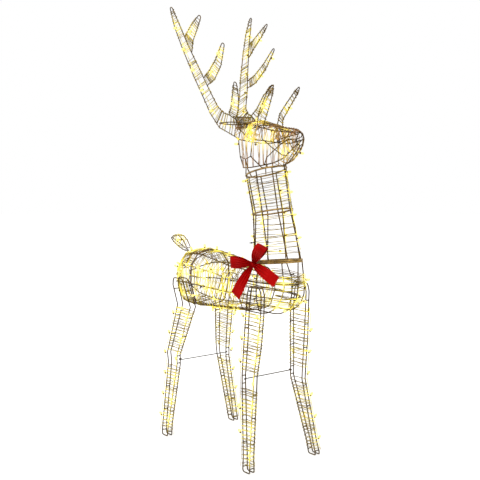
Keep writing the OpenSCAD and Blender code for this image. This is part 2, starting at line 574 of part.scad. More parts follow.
// a brace lying along -Y behind its pivot at the origin, reaching span to the far leg rod
module brace(span) {
  off = fr + eye_clearance + br;
  rise = 2 * br + 0.3;
  wire(concat(
    [for (i = [0:12]) let (q = 180 + 30 * i)
      [eye_r * cos(q), eye_r * sin(q), rise * (12 - i) / 12 - 0]],
    [[-off, -eye_r - 6, 0], [-off, -span - off + 3, 0],
     [-off + 1, -span - off + 0.7, 0], [-off + 3.4, -span - off, 0],
     [-off + fr + hook_length, -span - off, 0]]), br, [0, 0, 1], 8);
}
module front_brace() color(c_ring)
  translate(front_pivot) rotate([0, 0, -brace_swing]) brace(2 * front_pivot[1]);
module rear_brace() color(c_ring)
  translate(rear_pivot) rotate([0, 0, -brace_swing]) rotate([0, 0, 180])
    brace(-2 * rear_pivot[1]);

// ---------- winding ----------
module winding(route, ref) color(c_wrap) wire(route, wr, ref, 3);
// the winding leaves a bare band at the tail
module rear_winding() {
  span = norm(rear_rods[3][0] - rear_rods[3][7]);
  winding(helix(rear_rods, 0.05, 0.5, turns(span * 0.45, body_pitch * 0.8), wind_d), [1, 0, 0]);
  winding(helix(rear_rods, 0.64, 0.93, turns(span * 0.29, body_pitch * 0.8), wind_d), [1, 0, 0]);
}
module barrel_winding() winding(helix(barrel_rods, 0.04, 0.955,
  turns(norm(barrel_rods[3][0] - barrel_rods[3][3]), body_pitch), wind_d), [1, 0, 0]);
module neck_lower_winding() winding(helix(lower_rods, 0.08, 0.93,
  turns(norm(lower_rods[0][0] - lower_rods[0][1]), body_pitch), wind_d), [0, 0, 1]);
module neck_upper_winding() winding(helix(upper_rods, 0.09, 0.91,
  turns(norm(upper_rods[0][0] - upper_rods[0][1]), body_pitch), wind_d), [0, 0, 1]);
// chest: level passes from side to side over ribs and keels
chest_low = belly_height + 44;
chest_high = belly_height + 20 + chest_depth * 0.93;
function hoop_at(z) = let (p = [for (k = [0:5]) body_pt(k, chest_hoop_x)]) at_height(p, z);
chest_z = [for (f = [0:0.03125:1]) (chest_low + (chest_high - chest_low) * f) * kz];
chest_cols = [for (p = [rib, side_keel]) [for (z = chest_z) at_height(p, z)]];
chest_rods = [[for (z = chest_z) hoop_at(z) + [5, 1.4, 0]], chest_cols[0], chest_cols[1],
  [for (z = chest_z) at_height(up_keel, z)],
  side_list(chest_cols[1], -1), side_list(chest_cols[0], -1),
  [for (z = chest_z) mirror_y(hoop_at(z)) + [5, -1.4, 0]]];
// the winding leaves a bare band where the front legs are tied on
band_low = 0.41;
band_high = 0.575;
module chest_winding() {
  span = (chest_high - chest_low) * kz;
  winding(serpentine(chest_rods, 0, band_low, turns(span * band_low, body_pitch * 0.8),
    wind_d + 0.7), [0, 0, 1]);
  winding(serpentine(chest_rods, band_high, 1, turns(span * (1 - band_high), body_pitch * 0.8),
    wind_d), [0, 0, 1]);
}
// head: passes over the skull, then turns round the muzzle
function cut_rods(R, i0, i1) = [for (p = R) [for (i = [i0:i1]) p[i]]];
muzzle_rods = concat(cut_rods(skull_rods, 4, 7), [chin]);
module head_winding() color(c_wrap) {
  wire(serpentine(cut_rods(skull_rods, 0, 4), 0.2, 0.97,
    turns(norm(crown[0] - crown[4]), head_pitch), wind_d), wr, [1, 0, 0], 3);
  wire(helix(muzzle_rods, 0.19, 0.9, turns(norm(crown[4] - crown[7]), head_pitch * 0.8),
    wind_d + 0.2), wr, [1, 0, 0], 3);
}
// a flat coil round the two wires of a branch, between fractions f0 and f1
ed = er + g + wr;
function flat_coil(A, B, n, f0, f1, pitch, d) = let (m = turns(norm(along(A, f1) - along(A, f0)), pitch))
  [for (i = [0:4 * m]) let (k = i % 4, f = f0 + (f1 - f0) * i / (4 * m),
     a = along(A, f), b = along(B, f), q = unit(a - b), s = k == 0 || k == 3 ? 1 : -1)
     (s > 0 ? a : b) + (q * s + n * (k < 2 ? 1 : -1)) * d];
function beam_coil(f0, f1) = flat_coil(beam_front, beam_back, antler_n, f0, f1,
  antler_pitch, ed);
function tine_sides(r) = let (n = len(r)) [[for (i = [0:3]) r[i]], [for (i = [0:3]) r[n - 1 - i]]];
function brow_sides(r) = let (n = len(r)) [[for (i = [1:5]) r[i]], [for (i = [1:5]) r[n - 1 - i]]];
// bare stretch of the beam at each wire of a tine
bare = 0.018;
spans = [[tines[2][1], tines[1][0]], [tines[1][1], tines[0][0]], [tines[0][1], 1]];
module antler_coils() {
  for (s = spans) wire(beam_coil(s[0] + bare, s[1] - bare), wr, unit(beam[7] - beam[1]), 3);
  for (i = [0:2]) let (c = tine_sides(tine_route(i)))
    wire(flat_coil(c[0], c[1], antler_n, 0.2, 0.97, antler_pitch, ed + 0.6), wr,
      unit(tines[i][2][2] - tines[i][2][0]), 3);
  c = brow_sides(brow);
  wire(flat_coil(c[0], c[1], antler_n, 0.24, 0.97, antler_pitch, ed + 0.6), wr,
    unit(brow_p[3] - brow_p[0]), 3);
}
module antler_winding_left() color(c_wrap) antler_coils();
module antler_winding_right() color(c_wrap) mirror([0, 1, 0]) antler_coils();
tail_d = er + g + wr;
module tail_winding() winding(helix(tail_rods, 0.16, 0.95,
  turns(norm(tail_low[0] - tail_low[4]), tail_pitch), tail_d), [1, 0, 0.2]);
// legs: one coil below the brace, one above it
function leg_rods(L, i0, i1, s) = [for (q = [[true, true], [true, false], [false, false], [false, true]])
  let (p = side_list(leg_rod(L, q[0], q[1]), s)) [for (i = [i0:i1]) p[i]]];
module leg_coils(L, s, top) {
  low = leg_rods(L, 1, 3, s);
  high = leg_rods(L, 4, 6, s);
  wire(helix(low, 0.02, 0.97, turns(norm(low[0][0] - low[0][2]), leg_pitch), wind_d), wr,
    [0, 0, 1], 3);
  wire(helix(high, 0.04, top, turns(norm(high[0][0] - high[0][2]) * top, leg_pitch), wind_d), wr,
    [0, 0, 1], 3);
}
module leg_winding_front_left() color(c_wrap) leg_coils(front_leg, 1, 0.93);
module leg_winding_front_right() color(c_wrap) leg_coils(front_leg, -1, 0.93);
module leg_winding_rear_left() color(c_wrap) leg_coils(rear_leg, 1, 0.9);
module leg_winding_rear_right() color(c_wrap) leg_coils(rear_leg, -1, 0.9);

// ---------- light strings ----------
body_rods = [for (k = [0:9]) concat(reversed(rear_rods[k]), [for (i = [1:3]) barrel_rods[k][i]])];
// runs along rods in turn, stepping over the winding from one to the next
function tour(R, stops) = [for (q = stops) ring_at(R, q[0], q[1]) + string_off(R, q[0], q[1])];
function body_stops(k0, back, fwd) = concat([for (i = [back:9]) [k0, i / 10]], [[k0, fwd]]);
function back_stops(k0, back, fwd) = reversed(body_stops(k0, back, fwd));
body_tour = concat([[3, 0.4], [3, 0.3], [3, 0.2]], body_stops(2, 2, 0.97), [[1, 0.97]], back_stops(0, 5, 0.97),
  [[9, 0.5]], body_stops(8, 5, 0.97), [[7, 0.97]], back_stops(7, 8, 0.96));
belly_tour = concat(body_stops(3, 8, 0.97), [[4, 0.97]], back_stops(4, 8, 0.96),
  [[5, 0.8], [6, 0.8]], body_stops(6, 9, 0.97));
chest_tour = concat([for (i = [0:8]) [2, i / 8]], [for (i = [8:-1:0]) [3, i / 8]],
  [for (i = [0:8]) [4, i / 8]]);
rump_tour = [[7, 0.4], [7, 0.3], [7, 0.2], [8, 0.2], [8, 0.3], [8, 0.4]];
neck_rods = [for (q = neck_q) [foot2_pt(q), mid_pt(q), top_pt(q)]];
neck_tour = [for (j = [0:3]) each (j % 2 == 0
  ? [[2 * j, 0.09], [2 * j, 0.5], [2 * j, 0.93], if (j < 3) [2 * j + 1, 0.93]]
  : [[2 * j, 0.93], [2 * j, 0.5], [2 * j, 0.09], if (j < 3) [2 * j + 1, 0.09]])];
skull_ring = cut_rods(skull_rods, 0, 4);
function skull_run(k, f) = [for (x = f) [k, x]];
head_tour = concat(skull_run(1, [0.2, 0.25, 0.5, 0.75, 0.94]), skull_run(2, [0.94]),
  skull_run(3, [0.94, 0.75, 0.5]), skull_run(4, [0.5]), skull_run(5, [0.5, 0.75, 0.94]));
module light_wire(route, ref) color(c_string) wire(route, sr, ref, 3);
module body_string() {
  light_wire(tour(body_rods, body_tour), [0.02, 0.31, 0.02]);
  light_wire(tour(body_rods, belly_tour), [0.02, 0.31, 0.02]);
  light_wire(tour(body_rods, rump_tour), [0.02, 0.31, 0.02]);
  light_wire(tour(chest_rods, chest_tour), [1, 0.02, 0.03]);
}
module neck_string() light_wire(tour(neck_rods, neck_tour), [0.9, 0.31, 0.1]);
module head_string() light_wire(tour(skull_ring, head_tour), [0.05, 0.31, 0.95]);
// a string along the middle of a branch, over the flat coil
function mid_run(A, B, stops, d) = [for (f = stops) (along(A, f) + along(B, f)) / 2
  + antler_n * (d + wr + 4 * g + sr)];
antler_runs = concat([mid_run(beam_front, beam_back, concat([0.04], [for (i = [1:7]) i / 8], [0.97]), ed)],
  [for (i = [0:2]) let (c = tine_sides(tine_route(i))) mid_run(c[0], c[1], [0.2, 1 / 3, 2 / 3, 0.92],
    ed + 0.6)],
  [let (c = brow_sides(brow)) mid_run(c[0], c[1], [0.26, 0.5, 0.75, 0.94], ed + 0.6)]);
module antler_strings() for (r = antler_runs) wire(r, sr, antler_n, 3);
module antler_string_left() color(c_string) antler_strings();
module antler_string_right() color(c_string) mirror([0, 1, 0]) antler_strings();
// legs: up the outer front rod and down the outer rear rod
function leg_tour(L, s) = let (R = leg_rods(L, 1, 6, s))
  tour(R, concat([[0, 0.02], [0, 0.2], [0, 0.4], [0, 0.6], [0, 0.8], [0, 0.97]],
    [[3, 0.97], [3, 0.8], [3, 0.6], [3, 0.4], [3, 0.2], [3, 0.02]]));
module leg_string(L, s) light_wire(leg_tour(L, s), [1, 0.3 * s, 0.02]);
module leg_string_front_left() leg_string(front_leg, 1);
module leg_string_front_right() leg_string(front_leg, -1);
module leg_string_rear_left() leg_string(rear_leg, 1);
module leg_string_rear_right() leg_string(rear_leg, -1);

// ---------- bulbs ----------
// one LED: a short barrel with a tapered tip, its foot on the string at p, pointing along n
module bulb(p, n) {
  z = unit(n);
  x = unit(cross(abs(z[0]) < 0.8 ? [1, 0, 0] : [0, 1, 0], z));
  y = cross(z, x);
  o = p + z * (sr + g);
  multmatrix([[x[0], y[0], z[0], o[0]], [x[1], y[1], z[1], o[1]], [x[2], y[2], z[2], o[2]],
    [0, 0, 0, 1]])
    rotate_extrude() polygon([[0, 0], [bulb_d / 2, 0], [bulb_d / 2, bulb_length * 0.6],
      [bulb_d * 0.36, bulb_length * 0.88], [0, bulb_length]]);
}
// places every bulb_pitch along a run; c is a point well inside, to point away from
function walk(r, i = 0, s = 0) = i >= len(r) - 1 ? [] :
  let (L = norm(r[i + 1] - r[i]), first = ceil((s - bulb_pitch * 0.5) / bulb_pitch) )
  concat([for (j = [max(0, first):1:floor((s + L - bulb_pitch * 0.5) / bulb_pitch)])
    let (d = j * bulb_pitch + bulb_pitch * 0.5 - s) if (d > 2 && d < L - 2)
      [r[i] + (r[i + 1] - r[i]) * d / L, unit(r[i + 1] - r[i])]], walk(r, i + 1, s + L));
module bulbs_round(r, c0, c1) color(c_bulb) for (w = walk(r))
  let (f = max(0, min(1, ((w[0] - c0) * (c1 - c0)) / ((c1 - c0) * (c1 - c0)))))
    bulb(w[0], square_to(w[0] - (c0 + (c1 - c0) * f), w[1]));
module body_bulbs() {
  c0 = P(-110, 0, 566); c1 = P(chest_hoop_x, 0, 566);
  bulbs_round(tour(body_rods, body_tour), c0, c1);
  bulbs_round(tour(body_rods, rump_tour), c0, c1);
}
module belly_bulbs() {
  c0 = P(-110, 0, 566); c1 = P(chest_hoop_x, 0, 566);
  bulbs_round(tour(body_rods, belly_tour), c0, c1);
  bulbs_round(tour(chest_rods, chest_tour), P(420, 0, 480), P(420, 0, 640));
}
module neck_bulbs() bulbs_round(tour(neck_rods, neck_tour), foot_pt(90) * 0.5 + foot_pt(270) * 0.5,
  top_pt(90) * 0.5 + top_pt(270) * 0.5);
module head_bulbs() bulbs_round(tour(skull_ring, head_tour), P(280, 0, 1040), P(430, 0, 1036));
module antler_leds() for (r = antler_runs) for (w = walk(r)) bulb(w[0], square_to(antler_n, w[1]));
module antler_bulbs_left() color(c_bulb) antler_leds();
module antler_bulbs_right() color(c_bulb) mirror([0, 1, 0]) antler_leds();
module leg_bulbs(L, s) {
  r = leg_tour(L, s);
  bulbs_round(r, (leg_at(L, true, false, 20) + leg_at(L, false, false, 20)) / 2 * 1
    - [0, s > 0 ? 0 : (leg_at(L, true, false, 20) + leg_at(L, false, false, 20))[1], 0],
    (leg_at(L, true, false, 480) + leg_at(L, false, false, 480)) / 2
    - [0, s > 0 ? 0 : (leg_at(L, true, false, 480) + leg_at(L, false, false, 480))[1], 0]);
}
module leg_bulbs_front_left() leg_bulbs(front_leg, 1);
module leg_bulbs_front_right() leg_bulbs(front_leg, -1);
module leg_bulbs_rear_left() leg_bulbs(rear_leg, 1);
module leg_bulbs_rear_right() leg_bulbs(rear_leg, -1);

// ---------- bow ----------
bow_q = 250;
knot_r = 10;
bow_out = unit([cos(bow_q) / neck_foot_a, sin(bow_q) / neck_half_width, 0]);
knot_c = foot_pt(bow_q) + bow_out * (rr + g + knot_r);
// a ribbon along a route: wd is the direction of its width, w its width at each station
module ribbon(p, wd, w) {
  n = len(p);
  pts = [for (i = [0:n - 1])
    let (t = unit(p[min(n - 1, i + 1)] - p[max(0, i - 1)]), a = unit(wd - t * (wd * t)), b = cross(t, a))
    each [p[i] + a * w[i] / 2 + b * ribbon_t / 2, p[i] - a * w[i] / 2 + b * ribbon_t / 2,
      p[i] - a * w[i] / 2 - b * ribbon_t / 2, p[i] + a * w[i] / 2 - b * ribbon_t / 2]];
  polyhedron(pts, concat(tube_sides(n, 4, false),
    [[0, 1, 2, 3]], [[4 * n - 1, 4 * n - 2, 4 * n - 3, 4 * n - 4]]));
}
// teardrop loop out along d, its two sides apart along q
function bow_route(d, q, L) = [for (s = [[0.0, 1.6], [0.35, 9], [0.7, 14], [0.92, 10], [1, 0],
  [0.92, -10], [0.7, -14], [0.35, -9], [0.0, -1.6]])
  knot_c + d * (knot_r + 0.35 + (L - knot_r) * s[0]) + q * s[1]];
loop_w = [for (f = [0.25, 0.7, 0.95, 1, 1, 1, 0.95, 0.7, 0.25]) ribbon_width * f];
d_back = unit([-0.75, -0.62, 0.06]);
d_up = unit([0.79, -0.25, 0.72]);
module bow_loops() color(c_bow) {
  ribbon(bow_route(d_back, unit(cross(d_back, [0, 0, 1])), bow_loop * 0.9), [0, 0, 1], loop_w);
  ribbon(bow_route(d_up, unit(cross(d_up, [0.8, 0.35, -0.3])), bow_loop * 1.15), [0.8, 0.35, -0.3], loop_w);
}
module bow_knot() color(c_bow) translate(knot_c) sphere(r = knot_r);
tail_a = [for (s = [[-2.6, -3.9, -8.0], [-14, -17, -35], [-28, -25, -61], [-42, -30, -86], [-55, -33, -107]])
  knot_c + [s[0], s[1], s[2]] * (norm(s) < 12 ? knot_r / 9 : bow_tail / 120)];
tail_b = [for (s = [[8.4, -3.3, -2.8], [36, -12, -7], [66, -13, -18], [92, -7, -32], [112, 2, -47]])
  knot_c + [s[0], s[1], s[2]] * (norm(s) < 12 ? knot_r / 9 : bow_tail / 120)];
tail_w = [for (f = [0.25, 0.7, 0.9, 1, 1]) ribbon_width * f];
module bow_tails() color(c_bow) {
  ribbon(tail_a, [0.75, 0.3, -0.45], tail_w);
  ribbon(tail_b, [0.2, 0.25, 0.93], tail_w);
}

// ---------- ties ----------
tie_r = 0.7;
tie_gap = 0.2;
front_tie_z = 569;
rear_tie_z = 548;
// a tie round two upright rods at a and b
module tie(a, b, ra, rb) {
  u = unit(b - a);
  v = unit(cross([0, 0, 1], u));
  wire_loop(concat(
    [for (q = [90:45:270]) a + (u * cos(q) + v * sin(q)) * (ra + tie_gap + tie_r) / cos(22.5)],
    [for (q = [-90:45:90]) b + (u * cos(q) + v * sin(q)) * (rb + tie_gap + tie_r) / cos(22.5)]),
    tie_r, [0, 0, 1], 4);
}
module leg_ties() color(c_black) for (s = [1, -1]) {
  f = leg_at(front_leg, false, false, front_tie_z);
  c = at_height(rib, front_tie_z * kz);
  tie([c[0], s * c[1], c[2]], [f[0], s * f[1], f[2]], fr, fr);
  r = leg_at(rear_leg, true, false, rear_tie_z);
  h = at_height([for (k = [0:5]) body_pt(k, hoop_x)], rear_tie_z * kz);
  tie([h[0], s * h[1], h[2]], [r[0], s * r[1], r[2]], rr, fr);
}

rear_frame();
rear_hoop();
barrel_frame();
chest_frame();
chest_ring();
neck_foot_ring();
neck_lower_frame();
neck_mid_ring();
neck_upper_frame();
neck_top_ring();
head_frame();
antler_bridge();
ear_left();
ear_right();
antler_left();
antler_right();
tail();
leg_front_left();
leg_front_right();
leg_rear_left();
leg_rear_right();
front_brace();
rear_brace();
rear_winding();
barrel_winding();
chest_winding();
neck_lower_winding();
neck_upper_winding();
head_winding();
antler_winding_left();
antler_winding_right();
tail_winding();
leg_winding_front_left();
leg_winding_front_right();
leg_winding_rear_left();
leg_winding_rear_right();
body_string();
neck_string();
head_string();
antler_string_left();
antler_string_right();
leg_string_front_left();
leg_string_front_right();
leg_string_rear_left();
leg_string_rear_right();
body_bulbs();
belly_bulbs();
neck_bulbs();
head_bulbs();
antler_bulbs_left();
antler_bulbs_right();
leg_bulbs_front_left();
leg_bulbs_front_right();
leg_bulbs_rear_left();
leg_bulbs_rear_right();
bow_loops();
bow_knot();
bow_tails();
leg_ties();
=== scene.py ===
"""Light-up yard reindeer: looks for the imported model, in its own frame, in metres."""
import json
import math
import random

import bmesh
import bpy
import numpy as np
from mathutils import Matrix, Vector
from mathutils.bvhtree import BVHTree
from mathutils.kdtree import KDTree


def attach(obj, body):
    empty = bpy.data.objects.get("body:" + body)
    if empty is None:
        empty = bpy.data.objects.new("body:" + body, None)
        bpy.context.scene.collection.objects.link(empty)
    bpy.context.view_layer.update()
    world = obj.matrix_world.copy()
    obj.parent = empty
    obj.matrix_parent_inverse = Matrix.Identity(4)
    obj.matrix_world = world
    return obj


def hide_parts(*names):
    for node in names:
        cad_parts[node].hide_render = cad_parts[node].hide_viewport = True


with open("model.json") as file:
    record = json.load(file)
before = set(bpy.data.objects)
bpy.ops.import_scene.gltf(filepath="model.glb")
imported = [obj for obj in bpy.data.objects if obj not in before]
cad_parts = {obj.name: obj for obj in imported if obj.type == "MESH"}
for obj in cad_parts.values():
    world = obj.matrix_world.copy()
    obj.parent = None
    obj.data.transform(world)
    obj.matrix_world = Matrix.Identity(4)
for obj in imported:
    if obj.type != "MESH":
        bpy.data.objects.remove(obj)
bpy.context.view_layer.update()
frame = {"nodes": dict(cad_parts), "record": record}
nodes = frame["nodes"]
MM = 0.001
scene = bpy.context.scene

# ---------- camera ----------
cam_data = bpy.data.cameras.new("camera")
cam = bpy.data.objects.new("camera", cam_data)
scene.collection.objects.link(cam)
scene.camera = cam
cam_data.sensor_width = 36
cam_data.lens = 61.9
cam_data.clip_start = 0.05
cam_at = Vector((2.289, -1.700, 0.971))
cam_fwd = Vector((-0.7922, 0.6035, -0.0906)).normalized()
cam_up = Vector((-0.0721, 0.0549, 0.9959)).normalized()
cam_right = cam_fwd.cross(cam_up).normalized()
cam_up = cam_right.cross(cam_fwd)
cam_turn = Matrix((cam_right, cam_up, -cam_fwd)).transposed()
cam.matrix_world = Matrix.Translation(cam_at) @ cam_turn.to_4x4()


# ---------- node helpers ----------
def srgb(r, g, b):
    """Linear colour with alpha for an sRGB colour given as 0 to 255."""
    out = []
    for v in (r, g, b):
        v /= 255
        out.append(v / 12.92 if v <= 0.04045 else ((v + 0.055) / 1.055) ** 2.4)
    return (*out, 1.0)


def new_material(name):
    """A material, its node tree and its object coordinates."""
    m = bpy.data.materials.new(name)
    m.use_nodes = True
    m.node_tree.nodes.clear()
    return m, m.node_tree, add(m.node_tree, "ShaderNodeTexCoord").outputs["Object"]


def add(tree, kind, **values):
    """A node; each value is another node's output, an input's value or a setting."""
    n = tree.nodes.new(kind)
    for key, value in values.items():
        if isinstance(value, bpy.types.NodeSocket):
            tree.links.new(value, n.inputs[key])
        elif key in n.inputs:
            n.inputs[key].default_value = value
        else:
            setattr(n, key, value)
    return n


def noise_tex(tree, coords, scale, detail=3.0, rough=0.55):
    return add(tree, "ShaderNodeTexNoise", Vector=coords, Scale=scale, Detail=detail,
               Roughness=rough).outputs["Fac"]


def ramp(tree, fac, stops):
    n = add(tree, "ShaderNodeValToRGB", Fac=fac)
    while len(n.color_ramp.elements) < len(stops):
        n.color_ramp.elements.new(0.5)
    for e, (at, colour) in zip(n.color_ramp.elements, stops):
        e.position = at
        e.color = colour
    return n.outputs["Color"]


def value_range(tree, fac, low, high):
    """Spreads the middle of a noise over low to high."""
    n = add(tree, "ShaderNodeMapRange", Value=fac,
            **{"From Min": 0.3, "From Max": 0.7, "To Min": low, "To Max": high})
    return n.outputs["Result"]


def calc(tree, operation, *values):
    """A Math node; each value is a number or another node's output."""
    n = add(tree, "ShaderNodeMath", operation=operation)
    for socket, value in zip(n.inputs, values):
        if isinstance(value, float):
            socket.default_value = value
        else:
            tree.links.new(value, socket)
    return n.outputs[0]


def show(tree, shader, kind="ShaderNodeOutputMaterial"):
    """Makes shader the surface of a material or world."""
    add(tree, kind, Surface=shader.outputs[0])


def bump(tree, height, strength, distance):
    return add(tree, "ShaderNodeBump", Strength=strength, Distance=distance,
               Height=height).outputs["Normal"]


def wire_material(name, dark, mid, light, metallic, rough, scale, relief, painted_led_strength=0.0):
    """Enamelled or bare wire: patchy colour, uneven roughness and fine drawn-wire bump.
    The last argument is the strength of painted LED light: warm emission on the wire near each LED,
    standing in for the light the LED throws on it."""
    m, t, coords = new_material(name)
    patch = noise_tex(t, coords, scale, 4.0, 0.6)
    fine = noise_tex(t, coords, scale * 9, 3.0, 0.6)
    mottle = calc(t, "MULTIPLY_ADD", fine, 0.35, calc(t, "SUBTRACT", patch, 0.17))
    colour = ramp(t, mottle, [(0.3, srgb(*dark)), (0.5, srgb(*mid)), (0.72, srgb(*light))])
    b = add(t, "ShaderNodeBsdfPrincipled", Metallic=metallic,
            Roughness=value_range(t, fine, rough - 0.1, rough + 0.14),
            Normal=bump(t, fine, relief, 0.0004), **{"Base Color": colour})
    # painted LED light: emission on the wire, as strong as its stored nearness to an LED, stands in
    # for the light the LEDs throw on it
    if painted_led_strength:
        glow = add(t, "ShaderNodeAttribute", attribute_name="glow").outputs["Fac"]
        t.links.new(calc(t, "MULTIPLY", glow, painted_led_strength), b.inputs["Emission Strength"])
        b.inputs["Emission Color"].default_value = (1.0, 0.84, 0.1, 1)
    show(t, b)
    return m


# sRGB dark, mid and light, then metallic, roughness, patches, relief and painted light from the
# LEDs
WIRES = {
    "frame_enamel": ((42, 29, 3), (70, 50, 6), (116, 86, 20), 0.8, 0.45, 60, 0.25),
    "seam_enamel": ((74, 56, 18), (128, 98, 34), (186, 148, 66), 0.4, 0.38, 50, 0.25),
    "brace_enamel": ((28, 20, 3), (44, 32, 5), (78, 59, 16), 0.8, 0.45, 60, 0.25),
    "winding_enamel": ((46, 33, 3), (92, 68, 9), (184, 144, 38), 0.7, 0.4, 90, 0.2, 1.7),
    "winding_copper": ((66, 36, 12), (138, 88, 34), (222, 172, 90), 0.25, 0.38, 90, 0.2, 1.6),
    "string_pvc": ((66, 48, 12), (104, 78, 22), (150, 116, 40), 0.0, 0.5, 70, 0.15, 2.4),
    "hoop_enamel": ((44, 26, 8), (74, 46, 14), (122, 84, 34), 0.15, 0.45, 60, 0.3),
    "weld_enamel": ((54, 44, 22), (84, 70, 34), (120, 102, 54), 0.3, 0.5, 220, 0.6),
    "tie_nylon": ((16, 14, 12), (26, 23, 18), (44, 39, 30), 0.0, 0.55, 200, 0.2)}
(frame_mat, ring_mat, brace_mat, wrap_mat, copper_mat, string_mat, hoop_mat, weld_mat,
 tie_mat) = (wire_material(name, *looks) for name, looks in WIRES.items())


def bulb_material():
    """A lit lens: warm clear plastic that shines by itself."""
    m, t, coords = new_material("led_lens")
    patch = noise_tex(t, coords, 25, 2.0)
    colour = ramp(t, patch, [(0.35, srgb(150, 116, 40)), (0.65, srgb(176, 142, 64))])
    show(t, add(t, "ShaderNodeBsdfPrincipled", Roughness=0.22,
                **{"Base Color": colour, "Emission Color": (1.0, 0.86, 0.27, 1),
                   "Emission Strength": 1.1, "Coat Weight": 0.4}))
    return m


def ribbon_material():
    """Woven satin: fine threads across and along, a soft sheen and slight shading in the folds."""
    m, t, coords = new_material("ribbon_satin")
    cloud = noise_tex(t, coords, 22, 3.0)
    weave = add(t, "ShaderNodeTexWave", Vector=coords, Scale=900.0, Distortion=0.6, Detail=1.0)
    colour = ramp(t, cloud, [(0.3, srgb(136, 0, 0)), (0.55, srgb(162, 0, 0)),
                             (0.8, srgb(178, 2, 1))])
    show(t, add(t, "ShaderNodeBsdfPrincipled", Roughness=value_range(t, cloud, 0.46, 0.6),
                Normal=bump(t, weave.outputs["Fac"], 0.25, 0.0002),
                **{"Base Color": colour, "Sheen Weight": 0.02, "Sheen Roughness": 0.35,
                   "Sheen Tint": srgb(255, 60, 50), "Specular IOR Level": 0.06}))
    return m


led_mat = bulb_material()
ribbon_mat = ribbon_material()
SLOT_MAT = {"frame_wire": frame_mat, "seam_ring": ring_mat, "brace_wire": brace_mat,
            "winding_wire": wrap_mat, "string_wire": string_mat, "led_bulb": led_mat,
            "ribbon": ribbon_mat, "cable_tie": tie_mat}
node_slot = {s["node"]: s["material_slot"] for s in frame["record"]["subparts"]}

for name, ob in nodes.items():
    ob.data.materials.clear()
    ob.data.materials.append(hoop_mat if name == "rear_hoop" else SLOT_MAT[node_slot[name]])


# ---------- floor, world and lamps ----------
def background_rays(tree):
    """1 for rays that show the plain background: to the camera, in gloss, through clear things."""
    path = add(tree, "ShaderNodeLightPath")
    fac = path.outputs["Is Camera Ray"]
    for kind in ("Is Glossy Ray", "Is Transmission Ray"):
        fac = calc(tree, "MAXIMUM", fac, path.outputs[kind])
    return fac


def by_ray(tree, lighting, seen):
    """lighting reaches the object, and seen is what the background rays meet."""
    mix = add(tree, "ShaderNodeMixShader", Fac=background_rays(tree))
    tree.links.new(lighting.outputs[0], mix.inputs[1])
    tree.links.new(seen.outputs[0], mix.inputs[2])
    return mix


def floor_material():
    m, t, coords = new_material("floor_white")
    colour = ramp(t, noise_tex(t, coords, 3, 3.0),
                  [(0.3, (0.86, 0.86, 0.86, 1)), (0.7, (0.9, 0.9, 0.9, 1))])
    d = add(t, "ShaderNodeBsdfDiffuse", Color=colour)
    e = add(t, "ShaderNodeEmission", Strength=0.34)
    s = add(t, "ShaderNodeAddShader")
    t.links.new(d.outputs[0], s.inputs[0])
    t.links.new(e.outputs[0], s.inputs[1])
    show(t, by_ray(t, d, s))
    return m


bm = bmesh.new()
bmesh.ops.create_circle(bm, cap_ends=True, segments=96, radius=14)
me = bpy.data.meshes.new("floor")
bm.to_mesh(me)
bm.free()
floor = bpy.data.objects.new("floor", me)
floor.location.z = -0.0015
me.materials.append(floor_material())
scene.collection.objects.link(floor)

world = bpy.data.worlds.new("studio")
scene.world = world
world.use_nodes = True
wt = world.node_tree
wt.nodes.clear()
look = add(wt, "ShaderNodeBackground", Color=(1, 1, 1, 1), Strength=1.0)
light = add(wt, "ShaderNodeBackground", Color=(1, 0.99, 0.97, 1), Strength=0.42)
show(wt, by_ray(wt, light, look), "ShaderNodeOutputWorld")


def lamp(name, kind, at, aim, power, **settings):
    d = bpy.data.lights.new(name, kind)
    d.energy = power
    for key, value in settings.items():
        setattr(d, key, value)
    o = bpy.data.objects.new(name, d)
    scene.collection.objects.link(o)
    o.location = at
    o.rotation_euler = (Vector(aim) - Vector(at)).to_track_quat("-Z", "Y").to_euler()


lamp("key", "SUN", (1.6, -1.9, 2.6), (0, 0, 0), 2.3, angle=math.radians(22))
lamp("fill", "AREA", (-1.8, -2.4, 1.8), (0, 0, 0.7), 18, size=2.0)
lamp("rim", "AREA", (-1.6, 2.2, 2.4), (0, 0, 0.8), 24, size=1.6)
scene.view_settings.view_transform = "Standard"

# ---------- shape helpers: millimetres in the deer's frame, metres when built ----------
MID_X = 162.5
FRAME_R, RING_R, EDGE_R, WRAP_R, STRING_R, GAP = 2.0, 3.0, 1.7, 0.8, 0.8, 0.12
WIND_D = FRAME_R + GAP + WRAP_R


def P(x, y, z):
    return np.array((x - MID_X, y, z), float)


def unit(v):
    return v / max(np.linalg.norm(v), 1e-9)


def lookup(x, table):
    return float(np.interp(x, [t[0] for t in table], [t[1] for t in table]))


def side_list(pts, s):
    return [np.array((p[0], s * p[1], p[2])) for p in pts]


def along(pts, f):
    """The point at share f of a route, with equal shares between its stations."""
    n = len(pts) - 1
    s = max(0.0, min(1.0, f)) * n
    i = min(int(s), n - 1)
    return pts[i] + (pts[i + 1] - pts[i]) * (s - i)


def ring_at(R, k, f):
    return along(R[k % len(R)], f)


def rod_way(R, k, f, reach):
    """The direction of rod k of R, over reach to both sides of share f."""
    return unit(ring_at(R, k, min(1, f + reach)) - ring_at(R, k, max(0, f - reach)))


def outward(R, k, f, d):
    """The step from rod k out to where a wire d outside all rods turns its corner."""
    p = ring_at(R, k, f)
    a, b = unit(ring_at(R, k - 1, f) - p), unit(ring_at(R, k + 1, f) - p)
    t = rod_way(R, k, f, 0.01)
    n = -unit(a + b)
    half = math.radians(180 - math.degrees(math.acos(max(-1, min(1, a @ b))))) / 2
    return unit(n - t * (n @ t)) * d / math.cos(half)


def lengths(p):
    """How far along a line each of its points lies."""
    return np.concatenate([[0], np.cumsum(np.linalg.norm(p[1:] - p[:-1], axis=1))])


def directions(line):
    """The unit direction at each point of a line."""
    t = np.gradient(line, axis=0)
    return t / np.linalg.norm(t, axis=1)[:, None]


